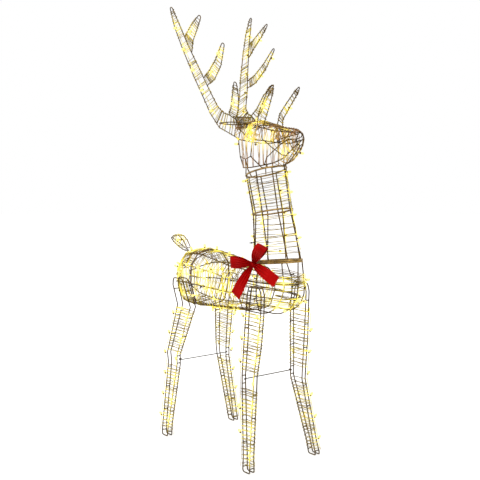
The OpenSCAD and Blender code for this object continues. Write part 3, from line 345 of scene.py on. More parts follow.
def resample(at, where, p):
    """The line p, whose points lie at where, read again at each value of at."""
    return np.stack([np.interp(at, where, p[:, i]) for i in range(3)], 1)


def smooth_route(pts, r=4.0, m=3):
    """Rounds each inner corner of a route with a short curve that reaches r along both sides."""
    out = [pts[0]]
    for i in range(1, len(pts) - 1):
        a, b = pts[i - 1] - pts[i], pts[i + 1] - pts[i]
        d = min(r, 0.45 * np.linalg.norm(a), 0.45 * np.linalg.norm(b))
        ua, ub = unit(a), unit(b)
        for j in range(m + 1):
            t = j / m
            out.append(pts[i] + ua * d * (1 - t) ** 2 + ub * d * t * t)
    out.append(pts[-1])
    return out


def skin(bm, rows, closed=True):
    """Joins each row of corners to the next by faces; closed rows are rings."""
    for a, b in zip(rows, rows[1:]):
        for k in range(len(a) if closed else len(a) - 1):
            q = (k + 1) % len(a)
            bm.faces.new((a[k], a[q], b[q], b[k]))


def tube(bm, pts, radius, sides):
    """Adds a round wire along pts (mm) to bm."""
    pts = np.array(pts, float)
    keep = [0] + [i for i in range(1, len(pts)) if np.linalg.norm(pts[i] - pts[i - 1]) > 0.02]
    pts = pts[keep]
    n = len(pts)
    seg = pts[1:] - pts[:-1]
    seg /= np.linalg.norm(seg, axis=1)[:, None]
    t = np.vstack([seg[:1], seg[:-1] + seg[1:], seg[-1:]])
    t /= np.maximum(np.linalg.norm(t, axis=1), 1e-6)[:, None]
    u = np.cross(t[0], (0.3, 0.5, 0.81))
    u /= np.linalg.norm(u)
    ang = np.arange(sides) * 2 * math.pi / sides
    rings = []
    for i in range(n):
        u = u - t[i] * (u @ t[i])
        u /= np.linalg.norm(u)
        v = np.cross(t[i], u)
        ring = pts[i] + radius * (np.cos(ang)[:, None] * u + np.sin(ang)[:, None] * v)
        rings.append([bm.verts.new(c * MM) for c in ring])
    skin(bm, rings)
    bm.faces.new(rings[0][::-1])
    bm.faces.new(rings[-1])


def finish_mesh(bm, name, material, body, replaces=(), smooth=True):
    """Turns bm into a piece that rides on body and stands for the CAD nodes in replaces."""
    me = bpy.data.meshes.new(name)
    for f in bm.faces:
        f.smooth = smooth
    bm.normal_update()
    bm.to_mesh(me)
    bm.free()
    me.materials.append(material)
    ob = bpy.data.objects.new(name, me)
    scene.collection.objects.link(ob)
    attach(ob, body)
    if replaces:
        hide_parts(*replaces)
    return ob


# ---------- stations of the frame, as in the construction source ----------
BACK = [(-118, 589), (-108, 608), (-86, 633), (-40, 660), (43, 671), (140, 657), (237, 640),
        (312, 636), (420, 632)]
BELLY = [(-118, 534), (-108, 509), (-86, 488), (-40, 473), (43, 468), (140, 476), (237, 484),
         (312, 488), (420, 488)]
WIDTH = [(-118, 20), (-108, 36), (-86, 52), (-40, 74), (43, 84), (140, 85), (237, 84), (312, 79),
         (405, 72)]
SHARE = [(0, 1), (0.62, 0.94), (0.98, 0.73), (1, 0.42), (0.74, 0.05),
         (0, 0), (-0.74, 0.05), (-1, 0.42), (-0.98, 0.73), (-0.62, 0.94)]


def body_pt(k, x):
    t, b, w = lookup(x, BACK), lookup(x, BELLY), lookup(x, WIDTH)
    s = SHARE[k % 10]
    return P(x, w * s[0], b + (t - b) * s[1])


BARREL = [[body_pt(k, x) for x in (43, 140, 237, 312)] for k in range(10)]
REAR = [[body_pt(k, x) for x in (43, 0, -40, -66, -86, -98, -108, -118)] for k in range(10)]


def oval(x0, z0, a, tilt, q):
    c, s = math.cos(math.radians(q)), math.sin(math.radians(q))
    return P(x0 + a * c, 60 * s, z0 + a * c * tilt)


def foot_pt(q):
    return oval(420, 658, 100, 0.11, q)


def foot2_pt(q):
    return foot_pt(q) + unit(np.array((-0.11, 0, 1.0))) * (2 * RING_R + GAP) * 1.02


def mid_pt(q):
    return oval(394, 820, 70, 0.2, q)


def top_pt(q):
    return oval(360, 949, 75, 0.25, q)


NECK_Q = [15 + 45 * k for k in range(8)]
NECK = [[foot2_pt(q), mid_pt(q), top_pt(q)] for q in NECK_Q]
LOWER, UPPER = [p[:2] for p in NECK], [p[1:] for p in NECK]


def at_height(pts, z):
    for a, b in zip(pts, pts[1:]):
        if (a[2] - z) * (b[2] - z) <= 0 and a[2] != b[2]:
            return a + (b - a) * (z - a[2]) / (b[2] - a[2])
    raise ValueError("no point at that height")


def arc(step):
    return [math.radians(q) for q in range(0, 91, step)]


KEEL = [P(312, 0, 488), P(360, 0, 488)] + [
    P(400 + 120 * math.sin(q), 0, 590 - 102 * math.cos(q)) for q in arc(15)] + [foot_pt(0)]
FLANK = 56
FLANK_TOP = 60 * math.sin(math.radians(45))
SIDE_KEEL = [body_pt(4, 312), P(360, FLANK + 2, 495)] + [
    P(400 + 103 * math.sin(q), FLANK + (FLANK_TOP - FLANK) * math.degrees(q) / 90,
      590 - 95 * math.cos(q)) for q in arc(18)] + [foot_pt(45)]
RIB = [P(404, 62, 502), P(404, 75.5, 544.16), P(404, 75.5, 598.04), foot_pt(105)]
CHEST_Z = [512 + 113.64 * i / 32 for i in range(33)]


def hoop_at(z):
    return at_height([body_pt(k, 312) for k in range(6)], z)


CHEST_COLS = [[at_height(p, z) for z in CHEST_Z] for p in (RIB, SIDE_KEEL)]
CHEST = [[hoop_at(z) + (5, 1.4, 0) for z in CHEST_Z], CHEST_COLS[0], CHEST_COLS[1],
         [at_height(KEEL[1:], z) for z in CHEST_Z],
         side_list(CHEST_COLS[1], -1), side_list(CHEST_COLS[0], -1),
         [p + (5, -1.4, 0) for p in side_list([hoop_at(z) for z in CHEST_Z], -1)]]

HEAD_X = (250, 290, 340, 390, 435, 475, 510, 526)
CROWN = [P(x, 0, z) for x, z in zip(HEAD_X, (1103, 1115, 1111, 1099, 1090, 1085, 1080, 1071))]
TEMPLE, CHEEK, JAW = ([P(*p) for p in zip(HEAD_X, ys, zs)] for ys, zs in (
    ((20, 33, 36, 33, 28, 22, 17, 11), (1090, 1102, 1099, 1087, 1078, 1074, 1070, 1064)),
    ((29, 45, 50, 46, 37, 30, 24, 15), (1056, 1052, 1046, 1040, 1039, 1044, 1049, 1050)),
    ((22, 38, 47, 44, 32, 23, 17, 11), (1000, 962, 963, 969, 977, 992, 1020, 1036))))
CHIN = [P(x, 0, z) for x, z in zip(HEAD_X[4:], (966, 981, 1011, 1030))]
SKULL = [JAW, CHEEK, TEMPLE, CROWN] + [side_list(p, -1) for p in (TEMPLE, CHEEK, JAW)]
CRANIUM = [p[:5] for p in SKULL]
MUZZLE = [p[4:] for p in SKULL] + [CHIN]

BEAM = [P(246, 30, 1088), P(212, 39, 1107), P(178, 46, 1121), P(152, 58, 1155), P(134, 80, 1215),
        P(112, 100, 1278), P(84, 130, 1370), P(68, 152, 1440), P(60, 170, 1498)]
BEAM_W = (60, 64, 63, 50, 45, 43, 34, 28, 12)
ANTLER_N = unit(np.array((0.08, 0.954, -0.287)))
TINES = [((0.71, 0.79), (P(120, 135, 1394), P(152, 139, 1422), P(190, 141, 1455)), (36, 29, 13)),
         ((0.53, 0.58), (P(185, 92, 1266), P(229, 97, 1303), P(270, 106, 1361)), (34, 29, 13)),
         ((0.05, 0.155), (P(258, 51, 1153), P(277, 62, 1197), P(299, 80, 1237)), (34, 28, 13))]


def tangent(p, i):
    return unit(p[min(len(p) - 1, i + 1)] - p[max(0, i - 1)])


def in_plane(t):
    return unit(np.cross(ANTLER_N, t))


def edge(p, w, e):
    return [p[i] + in_plane(tangent(p, i)) * e * w[i] / 2 for i in range(len(p))]


def prong_sides(p, w):
    """The two wires of a branch, from its root to the start of the rounded tip."""
    n = len(p) - 1
    t = tangent(p, n)
    q, h = in_plane(t), w[n] / 2
    return edge(p, w, 1)[:n] + [p[n] - t * h + q * h], edge(p, w, -1)[:n] + [p[n] - t * h - q * h]


BEAM_FRONT, BEAM_BACK = edge(BEAM, BEAM_W, 1), edge(BEAM, BEAM_W, -1)


def weld(a, t, b):
    """Where a wire coming from b starts, a hairline clear of the wire at a that runs along t."""
    u = unit(b - a)
    c = max(0.35, min(1.0, float(np.linalg.norm(np.cross(u, unit(t))))))
    return a + u * (EDGE_R + GAP + EDGE_R * math.sqrt(1 - c * c)) / c


def tine_sides(i):
    """The two wires of tine i, from the beam outwards."""
    roots, line, widths = TINES[i]
    sides = prong_sides(line, widths)
    return tuple([weld(along(BEAM_FRONT, f),
                       along(BEAM_FRONT, f + 0.01) - along(BEAM_FRONT, f - 0.01),
                       side[0])] + side for f, side in zip(roots, sides))


BROW_P = [P(388, 40, 1126), P(414, 45, 1160), P(443, 52, 1197), P(458, 55, 1216)]
BROW_W = (32, 28, 21, 10)


def brow_sides():
    """The two wires of the brow tine above its foot on the temple rod, between two passes."""
    a, b = prong_sides(BROW_P, BROW_W)
    out = []
    for side, j in zip((a, b), (5, 7) if a[0][2] > b[0][2] else (7, 5)):
        f = 0.2 + 0.77 * (j + 0.9) / 10.8
        foot, up = ring_at(CRANIUM, 2, f), unit(outward(CRANIUM, 2, f, 1))
        out.append([foot + up * 9] + side)
    return out


BROW = brow_sides()


TAIL_LOW = [P(-105, 8, 653), P(-130, 9, 660), P(-154, 10, 669), P(-178, 9, 679), P(-200, 5, 688)]
TAIL_HIGH = [P(-94, 8, 664), P(-116, 9, 690), P(-144, 10, 706), P(-172, 9, 708), P(-198, 5, 700)]
TAIL = [TAIL_LOW, side_list(TAIL_LOW, -1), side_list(TAIL_HIGH, -1), TAIL_HIGH]

# each station of a leg: height, x of its front and rear rods, y of its middle, half its depth in y
FRONT_LEG = [(2, 465, 431, 140, 9), (14, 464, 429, 139, 9), (44, 458, 425, 135, 8),
             (262, 434, 376, 103, 7), (298, 436, 376, 103, 7), (400, 450, 380, 98, 8),
             (505, 459, 384, 94, 6.5), (560, 461, 391, 94, 6.5), (586, 454, 398, 94, 6.5)]
REAR_LEG = [(2, -2, -36, 149, 9), (14, -3, -38, 148, 9), (44, -4, -41, 144, 8),
            (256, -1, -58, 109, 7), (292, -1, -64, 109, 7), (380, 26, -46, 96, 9),
            (470, 54, -28, 83, 11), (545, 52, -22, 106, 11), (572, 44, -14, 109, 11)]


SIDES = (("left", 1), ("right", -1))
LEGS = [(end, side, leg, s) for end, leg in (("front", FRONT_LEG), ("rear", REAR_LEG))
        for side, s in SIDES]


def leg_rods(leg, first, last, s):
    """Front outer, front inner, rear inner and rear outer rods of a leg between two stations."""
    out = []
    for front, outer in ((True, True), (True, False), (False, False), (False, True)):
        out.append(side_list([P(a[1] if front else a[2], a[3] + (1 if outer else -1) * a[4], a[0])
                              for a in leg[first:last + 1]], s))
    return out


# ---------- LED bulbs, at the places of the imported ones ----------
def islands(ob):
    """The separate closed pieces of a node's mesh, as lists of corner points in metres."""
    me = ob.data
    parent = list(range(len(me.vertices)))

    def find(i):
        while parent[i] != i:
            parent[i] = parent[parent[i]]
            i = parent[i]
        return i

    seen = {}
    for v in me.vertices:
        key = tuple(round(c, 6) for c in v.co)
        if key in seen:
            parent[find(v.index)] = find(seen[key])
        else:
            seen[key] = v.index
    for e in me.edges:
        a, b = find(e.vertices[0]), find(e.vertices[1])
        if a != b:
            parent[a] = b
    groups = {}
    for v in me.vertices:
        groups.setdefault(find(v.index), []).append(v.index)
    return list(groups.values())


def piece_points(ob):
    """The corners (mm) of each separate piece of a node."""
    co = np.array([v.co for v in ob.data.vertices]) / MM
    return [np.unique(np.round(co[group], 3), axis=0) for group in islands(ob)]


def bulb_places(ob):
    """Foot and direction of each packed bulb of a node."""
    out = []
    for pts in piece_points(ob):
        c = pts.mean(0)
        z = np.linalg.svd(pts - c)[2][0]
        h = (pts - c) @ z
        r = np.linalg.norm((pts - c) - h[:, None] * z, axis=1)
        if r[h > h.max() - 0.5].max() > r[h < h.min() + 0.5].max():
            z, h = -z, -h
        out.append((c + z * h.min(), z))
    return out


BULBS = {name: bulb_places(nodes[name]) for name in nodes if "bulbs" in name}
for name, places in BULBS.items():
    if "leg" in name:
        BULBS[name] = [(foot, unit(z + (0, 0, 1.4))) for foot, z in places]


def between(R, k, f, d):
    """A point d outside the wires of R, at share k - int(k) of the way from one rod to the next."""
    i, t = int(k), k - int(k)
    a, b = (ring_at(R, j, f) + outward(R, j, f, d) for j in (i, i + 1))
    return a + (b - a) * t


BODY = [REAR[k][::-1] + BARREL[k][1:] for k in range(10)]
SPARE_D = WIND_D + 4.2   # flank lights that have no packed bulbs lie outside both windings
SPARE_RUNS = [[between(BODY, k, i / 24, SPARE_D) for i in range(first, 23)]
              for k, first in ((7.5, 3), (2.5, 3), (6.5, 4), (3.5, 4))]
SPARE_SPOTS = []
for n, run in enumerate(SPARE_RUNS):
    for i in range(1 + n % 2, len(run), 3):
        c = sum(run) / len(run)
        z = unit((run[i] - c) * (0.15, 1, 1))
        SPARE_SPOTS.append((run[i] + z * 1.5, unit(z + (0.5, 0, 0.2))))
HEAD_AND_TAIL_SPOTS = ((488, 33, 1009, (0.3, 1, -0.2)), (258, 36, 1040, (-0.5, 1, 0)),
                       (330, 46, 1082, (0, 1, 0.3)), (-152, 3, 690, (0, 1, 0.1)))
for s in (1, -1):
    for x, y, z, d in HEAD_AND_TAIL_SPOTS:
        SPARE_SPOTS.append((P(x, s * y, z), unit(np.array(d) * (1, s, 1))))
BULBS["spare"] = SPARE_SPOTS
LENS_MIDDLE = 7          # mm above a bulb's foot
PAINTED_LIGHT_REACH = 0.026       # m from an LED at which the painted light on a wire is down to 1/e
# the lens middles of all LEDs, from which the painted LED light on the wires fades
PAINTED_LIGHT_SOURCES = KDTree(sum(len(b) for b in BULBS.values()))
for i, (foot, z) in enumerate(b for places in BULBS.values() for b in places):
    PAINTED_LIGHT_SOURCES.insert((foot + z * LENS_MIDDLE) * MM, i)
PAINTED_LIGHT_SOURCES.balance()


def paint_led_light(ob):
    """Stores at each corner point how strongly the nearest LED's light is painted on it, from 0 to
    1, for the wire material's emission.
    """
    layer = ob.data.attributes.new("glow", "FLOAT", "POINT")
    layer.data.foreach_set("value", [math.exp(-(PAINTED_LIGHT_SOURCES.find(v.co)[2] / PAINTED_LIGHT_REACH) ** 2)
                                     for v in ob.data.vertices])


# ---------- fine winding ----------
def wander(rng, n, step):
    """n smooth values between about -1 and 1 that change over step entries."""
    m = n // step + 3
    knots = [rng.uniform(-1, 1) for _ in range(m)]
    return np.interp(np.arange(n) / step, np.arange(m), knots)


def by_length(R, f):
    """The station share at which a share f of the rods' length has passed."""
    s = np.linspace(0, 1, 61)
    p = np.array([sum(ring_at(R, k, v) for k in range(len(R))) / len(R) for v in s])
    run = lengths(p)
    return float(np.interp(f * run[-1], run, s))


def wound(R, f0, f1, turns, d, rng, loose=0.35, back=False, slip=0.0, even=False):
    """A hand-wound wire round all rods of R: uneven pitch, a little slack between rods."""
    K = len(R)
    n = int(round(turns * K))
    drift = wander(rng, n + 1, K) * loose
    pts = []
    for i in range(n + 1):
        k = -i if back else i
        f = f0 + (f1 - f0) * (i / K + drift[i] + rng.uniform(-1, 1) * slip) / turns
        f = min(max(f, min(f0, f1)), max(f0, f1))
        if even:
            f = by_length(R, f)
        pts.append(ring_at(R, k, f) + outward(R, k, f, d))
    return pts


def slack(pts, rng, give=0.8, parts=2):
    """Adds points between neighbours, each a little off the straight line."""
    out = [pts[0]]
    for a, b in zip(pts, pts[1:]):
        span = np.linalg.norm(b - a)
        for j in range(1, parts + 1):
            t = j / (parts + 1)
            off = np.array([rng.uniform(-1, 1) for _ in range(3)]) * give * min(1, span / 40)
            out.append(a + (b - a) * t + off)
        out.append(b)
    return out


def open_row(R, f0, f1, passes, d, rng, loose=0.25):
    """Back-and-forth passes over an open row of rods."""
    K = len(R)
    pts = []
    drift = wander(rng, passes * K, K)
    for j in range(passes):
        for i in range(K):
            k = i if j % 2 == 0 else K - 1 - i
            f = f0 + (f1 - f0) * (j + 0.8 * i / (K - 1) + drift[j * K + i] * loose) / (passes - 0.2)
            f = min(max(f, f0), f1)
            p = ring_at(R, k, f)
            if 0 < k < K - 1:
                a, b = unit(ring_at(R, k - 1, f) - p), unit(ring_at(R, k + 1, f) - p)
                half = math.acos(max(-1, min(1, a @ b)))
                pts.append(p - unit(a + b) * d / math.cos((math.pi - half) / 2))
            else:
                q, r = (1, 2) if k == 0 else (K - 2, K - 3)
                base = ring_at(R, q, f)
                c = unit(p - base)
                n = -unit(unit(p - base) + unit(ring_at(R, r, f) - base))
                m = unit(n - c * (n @ c))
                pts.append(p + m * d)
    return pts


def flat_turns(A, B, n, f0, f1, pitch, off, rng, loose=0.6):
    """A coil round the two wires of a branch, whose plane has the normal n."""
    length = np.linalg.norm(along(A, f1) - along(A, f0))
    turns = max(2, int(round(length / pitch)))
    drift = wander(rng, turns * 6 + 1, 6) * loose
    pts = []
    for i in range(turns * 6 + 1):
        k = i % 6
        f = f0 + (f1 - f0) * (i / 6 + drift[i] * min(1, i / 6, turns - i / 6)) / turns
        a, b = along(A, f), along(B, f)
        q = unit(a - b)
        p, along_q, along_n = ((a, 0.55, 0.9), (b, -0.55, 0.9), (b, -1.05, 0), (b, -0.55, -0.9),
                               (a, 0.55, -0.9), (a, 1.05, 0))[k]
        pts.append(p + (q * along_q + n * along_n) * off)
    return pts


def winding(name, routes, replaced=(), radius=WRAP_R + 0.15, bend=3.0, material=wrap_mat):
    """Fine wire along routes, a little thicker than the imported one; bend rounds its corners."""
    bm = bmesh.new()
    for r in routes:
        tube(bm, smooth_route(r, bend, 2), radius, 6)
    # painted LED light: each corner's nearness to an LED, shown by the wire material as emission
    paint_led_light(finish_mesh(bm, name, material, "deer", replaced))


def tangle(R, steps, first, last, f0, f1, d, rng, stride=0.14, give=3.0):
    """A wire strung at random from rod to rod of R, between rods first and last."""
    k, f, pts = rng.randint(first, last), rng.uniform(f0, f1), []
    for _ in range(steps):
        pts.append(ring_at(R, k, f) + outward(R, k, f, d + rng.uniform(0, 1.5)))
        move = rng.choice((-1, 1))
        k = k + move if first <= k + move <= last else k - move
        f = min(max(f + rng.uniform(-stride, stride), f0), f1)
    return slack(pts, rng, give)


def nest(centre, size, steps, rng):
    """A bunched-up end of wire round centre."""
    pts, a, b = [], rng.uniform(0, 6), rng.uniform(0, 6)
    for _ in range(steps):
        a += rng.uniform(0.5, 1.4)
        b += rng.uniform(-0.9, 1.2)
        r = rng.uniform(0.75, 1.05)
        way = np.array((math.cos(a) * math.cos(b), math.sin(a) * math.cos(b), math.sin(b)))
        pts.append(centre + way * size * r)
    return pts


OVER_D = WIND_D + 1.3    # where a second wire lies over the first


def two_layers(R, f0, f1, turns, over_turns, rng):
    """A close winding, and a looser one back over it."""
    under = slack(wound(R, f0, f1, turns, WIND_D, rng, loose=0.7, slip=0.3), rng, give=1.6)
    over = wound(R, f0, f1, over_turns, OVER_D, rng, loose=0.8, back=True, slip=0.6)
    return [under, slack(over, rng, give=2.4)]


rng = random.Random(7)
routes = []
for f0, f1, turns in ((0.03, 0.5, 13), (0.63, 0.95, 6)):
    routes += two_layers(REAR, f0, f1, turns, turns * 0.35, rng)
winding("rear_wrap", routes, ["rear_winding"])
winding("barrel_wrap", two_layers(BARREL, 0.03, 0.965, 17, 4, rng), ["barrel_winding"])

routes = []
for f0, f1, passes in ((0, 0.38, 5), (0.53, 1, 6)):
    under = open_row(CHEST, f0, f1, passes, WIND_D + (0.5 if f0 == 0 else 0), rng)
    routes.append(slack(under, rng))
    over = open_row(CHEST, f0 + 0.02, f1 - 0.02, passes - 1, WIND_D + 1.7, rng, loose=0.7)
    routes.append(slack(over, rng, give=1.6))
winding("chest_wrap", routes, ["chest_winding"])

for part, R, f0, f1 in (("lower", LOWER, 0.07, 0.94), ("upper", UPPER, 0.08, 0.93)):
    routes = [slack(wound(R, f0, f1, 9, WIND_D, rng, loose=0.6, slip=0.1), rng, give=1.2)]
    winding("neck_%s_wrap" % part, routes, ["neck_%s_winding" % part])
routes = [slack(open_row(CRANIUM, 0.16, 0.98, 11, WIND_D, rng, loose=0.6), rng, give=2.0),
          slack(wound(MUZZLE, 0.15, 0.93, 7, WIND_D + 0.2, rng, loose=0.5), rng, give=1.2),
          tangle(CRANIUM, 34, 0, 6, 0.3, 1.0, WIND_D + 0.8, rng),
          tangle(MUZZLE, 44, 0, 7, 0.05, 0.95, WIND_D + 0.8, rng, stride=0.3)]
winding("head_wrap", routes, ["head_winding"], material=copper_mat)
NESTS = ((262, 37, 1101, (24, 9, 15)), (258, 38, 1075, (16, 10, 24)), (345, 46, 1066, (34, 6, 14)))
routes = [tangle(CRANIUM, 22, 1, 5, 0.12, 0.62, WIND_D + 2.2, rng, stride=0.22, give=4.0)]
routes += [nest(P(x, s * y, z), np.array(size), 26, rng)
           for s in (1, -1) for x, y, z, size in NESTS]
winding("crown_wrap", routes, material=copper_mat)


def cross_wire(name, *ends):
    """A bent wire laid over the side of the muzzle, mirrored to the other side."""
    bm = bmesh.new()
    for s in (1, -1):
        line = slack([P(x, s * y, z) for x, y, z in ends], random.Random(5), give=1.0, parts=1)
        tube(bm, smooth_route(line, 5, 3), 1.5, 8)
    finish_mesh(bm, name, frame_mat, "deer")


cross_wire("cheek_wire", (382, 36.5, 1087), (402, 51, 1052), (440, 43, 1026), (476, 32, 1003),
           (488, 23, 999))
cross_wire("lip_wire", (404, 43, 972), (421, 48, 994), (468, 38, 1030), (508, 27, 1051),
           (524, 18, 1050))
cross_wire("nose_wire", (457, 35, 1044), (470, 34, 1051), (500, 27, 1058), (524, 13, 1064))


BEAM_PITCH, TINE_PITCH = 10.5, 9.5


def antler_routes(rng):
    off = EDGE_R + GAP + WRAP_R + 0.2
    cuts = [0.02] + sorted(f for t in TINES for f in t[0]) + [0.985]
    out = []
    for lo, hi in zip(cuts, cuts[1:]):
        gap_lo, gap_hi = (0.012 if lo > 0.03 else 0), (0.012 if hi < 0.98 else 0)
        if hi - lo > 0.045:
            out.append(flat_turns(BEAM_FRONT, BEAM_BACK, ANTLER_N, lo + gap_lo, hi - gap_hi,
                                  BEAM_PITCH, off, rng))
    for sides, lo in [(tine_sides(i), 0.08) for i in range(len(TINES))] + [(BROW, 0.1)]:
        out.append(flat_turns(*sides, ANTLER_N, lo, 0.97, TINE_PITCH, off + 0.5, rng))
    return out


BAR_LOW = along(BEAM_FRONT, 0.03) * 0.55 + along(BEAM_BACK, 0.03) * 0.45
BAR_HIGH = along(BEAM_FRONT, 0.1)
band = []
for i in range(61):
    bar, rise = ((BAR_HIGH, 1), (BAR_LOW, -1))[i % 4 > 1]
    front = 1 if i % 4 in (0, 3) else -1
    off = np.array((1.9 * front, rng.uniform(-1, 1), 1.9 * rise))
    band.append(bar * (1, (i / 30 - 1) * 0.9, 1) + off)
winding("bridge_wrap", [band], bend=1.2)
for side, s in SIDES:
    routes = [side_list(r, s) for r in antler_routes(random.Random(31 + s))]
    winding("antler_wrap_" + side, routes, ["antler_winding_" + side], bend=1.2)

off = EDGE_R + GAP + WRAP_R
winding("tail_wrap", [slack(wound(TAIL, 0.15, 0.96, 6, off, rng), rng)], ["tail_winding"])

LEG_WRAP_R, LEG_WRAP_D = WRAP_R + 0.35, WIND_D + 0.2
LOW_TURNS, HIGH_TURNS = 20, 16
for end, side, leg, s in LEGS:
    r = random.Random(50 + len(end) + s)
    low, high = leg_rods(leg, 1, 3, s), leg_rods(leg, 4, 6, s)
    top = 0.975 if end == "front" else 0.95
    routes = [slack(wound(rods, 0.02, last, turns, LEG_WRAP_D, r, 0.4, even=True), r, parts=1)
              for rods, last, turns in ((low, 0.985, LOW_TURNS), (high, top, HIGH_TURNS))]
    winding("leg_wrap_%s_%s" % (end, side), routes, ["leg_winding_%s_%s" % (end, side)],
            LEG_WRAP_R)

# ---------- light strings ----------
STRING_OFF = WRAP_R + 4 * GAP + STRING_R
STRAND_R, STRAND_OFF, STRAND_LAY, STRAND_STEP = 0.55, 0.62, 13, 2.6


def string_pt(R, k, f):
    n = unit(outward(R, k, f, 1))
    return ring_at(R, k, f) + outward(R, k, f, WIND_D) + n * (STRING_OFF + 0.5)


def tour(R, stops):
    return [string_pt(R, k, f) for k, f in stops]


def pair(name, routes, replaced, rng):
    """A light string: two thin insulated wires laid round each other."""
    bm = bmesh.new()
    for route in routes:
        pts = np.array(smooth_route(slack(route, rng, give=1.2), 6, 3))
        run = lengths(pts)
        n = max(8, int(run[-1] / STRAND_STEP))
        at = np.linspace(0, run[-1], n)
        line = resample(at, run, pts)
        t = directions(line)
        u = np.cross(t[0], (0.2, 0.4, 0.9))
        strands = ([], [])
        for i in range(n):
            u = unit(u - t[i] * (u @ t[i]))
            v = np.cross(t[i], u)
            a = at[i] / STRAND_LAY * 2 * math.pi
            off = (u * math.cos(a) + v * math.sin(a)) * STRAND_OFF
            strands[0].append(line[i] + off)
            strands[1].append(line[i] - off)
        for strand in strands:
            tube(bm, strand, STRAND_R, 5)
    # painted LED light: each corner's nearness to an LED, shown by the string material as emission
    paint_led_light(finish_mesh(bm, name, string_mat, "deer", replaced))


def body_stops(k, back, fwd):
    return [(k, i / 10) for i in range(back, 10)] + [(k, fwd)]


def back_stops(k, back, fwd):
    return body_stops(k, back, fwd)[::-1]


BODY_TOUR = ([(3, 0.4), (3, 0.3), (3, 0.2)] + body_stops(2, 2, 0.97) + [(1, 0.97)]
             + back_stops(0, 5, 0.97) + [(9, 0.5)] + body_stops(8, 5, 0.97) + [(7, 0.97)]
             + back_stops(7, 8, 0.96))
BELLY_TOUR = (body_stops(3, 8, 0.97) + [(4, 0.97)] + back_stops(4, 8, 0.96) + [(5, 0.8), (6, 0.8)]
              + body_stops(6, 9, 0.97))
CHEST_TOUR = [(2, i / 8) for i in range(9)] + [(3, i / 8) for i in range(8, -1, -1)] + [
    (4, i / 8) for i in range(9)]
RUMP_TOUR = [(7, 0.4), (7, 0.3), (7, 0.2), (8, 0.2), (8, 0.3), (8, 0.4)]
NECK_TOUR = []
for j in range(4):
    up = [(2 * j, 0.09), (2 * j, 0.5), (2 * j, 0.93)]
    over = [(2 * j + 1, 0.93 if j % 2 == 0 else 0.09)] if j < 3 else []
    NECK_TOUR += (up if j % 2 == 0 else up[::-1]) + over
HEAD_TOUR = ([(1, f) for f in (0.2, 0.25, 0.5, 0.75, 0.94)] + [(2, 0.94)]
             + [(3, f) for f in (0.94, 0.75, 0.5)] + [(4, 0.5)]
             + [(5, f) for f in (0.5, 0.75, 0.94)])
rng = random.Random(11)
pair("body_lights", [tour(BODY, BODY_TOUR), tour(BODY, BELLY_TOUR), tour(BODY, RUMP_TOUR),
                     tour(CHEST, CHEST_TOUR)], ["body_string"], rng)
pair("flank_lights", SPARE_RUNS, [], rng)
pair("neck_lights", [tour(NECK, NECK_TOUR)], ["neck_string"], rng)
pair("head_lights", [tour(CRANIUM, HEAD_TOUR)], ["head_string"], rng)


def mid_run(A, B, stops, lift=0.0):
    off = EDGE_R + GAP + WRAP_R + 0.3 + STRING_OFF + 0.7 + lift
    return [(along(A, f) + along(B, f)) / 2 + ANTLER_N * off for f in stops]


runs = [mid_run(BEAM_FRONT, BEAM_BACK, [0.04] + [i / 8 for i in range(1, 8)] + [0.97])]
runs += [mid_run(*tine_sides(i), (0.2, 1 / 3, 2 / 3, 0.92), 0.6) for i in range(len(TINES))]
runs.append(mid_run(*BROW, (0.1, 0.4, 0.7, 0.94), 0.6))
for side, s in SIDES:
    pair("antler_lights_" + side, [side_list(r, s) for r in runs], ["antler_string_" + side], rng)
UP_LEG = (0.02, 0.2, 0.4, 0.6, 0.8, 0.97)
LEG_STOPS = [(0, f) for f in UP_LEG] + [(3, f) for f in UP_LEG[::-1]]
for end, side, leg, s in LEGS:
    pair("leg_lights_%s_%s" % (end, side), [tour(leg_rods(leg, 1, 6, s), LEG_STOPS)],
         ["leg_string_%s_%s" % (end, side)], rng)


# height and radius along an LED's lens and its husk
LENS = ((1.2, 3.6), (3.0, 3.8), (3.5, 4.6), (4.5, 4.7), (5.0, 4.3), (8.4, 4.4), (11.0, 4.0),
        (13.0, 2.9), (14.2, 1.5))
LENS_TIP = 14.7
HUSK = ((-2.2, 1.2), (-1.4, 1.9), (0.0, 2.8), (0.9, 3.9), (2.8, 4.1), (3.3, 3.5))


def lathe(bm, at, z, profile, sides, tip=None):
    """A turned form along z from at; it ends in a point at height tip, or flat."""
    x = unit(np.cross(z, (0.37, 0.21, 0.9)))
    y = np.cross(z, x)
    rings = []
    for h, r in profile:
        rings.append([bm.verts.new((at + z * h + (x * math.cos(a) + y * math.sin(a)) * r) * MM)
                      for a in np.arange(sides) * 2 * math.pi / sides])
    skin(bm, rings)
    bm.faces.new(rings[0][::-1])
    if tip is None:
        bm.faces.new(rings[-1])
    else:
        top = bm.verts.new((at + z * tip) * MM)
        for k in range(sides):
            bm.faces.new((rings[-1][k], rings[-1][(k + 1) % sides], top))


for name, places in BULBS.items():
    lens_bm, husk_bm = bmesh.new(), bmesh.new()
    for foot, z in places:
        lathe(lens_bm, foot, z, LENS, 12, LENS_TIP)
        lathe(husk_bm, foot, z, HUSK, 12)
    packed = [name] if name in nodes else []
    label = name.replace("bulbs", "leds") if packed else "flank_leds"
    finish_mesh(lens_bm, label, led_mat, "deer", packed)
    finish_mesh(husk_bm, label.replace("leds", "led_husks"), string_mat, "deer")

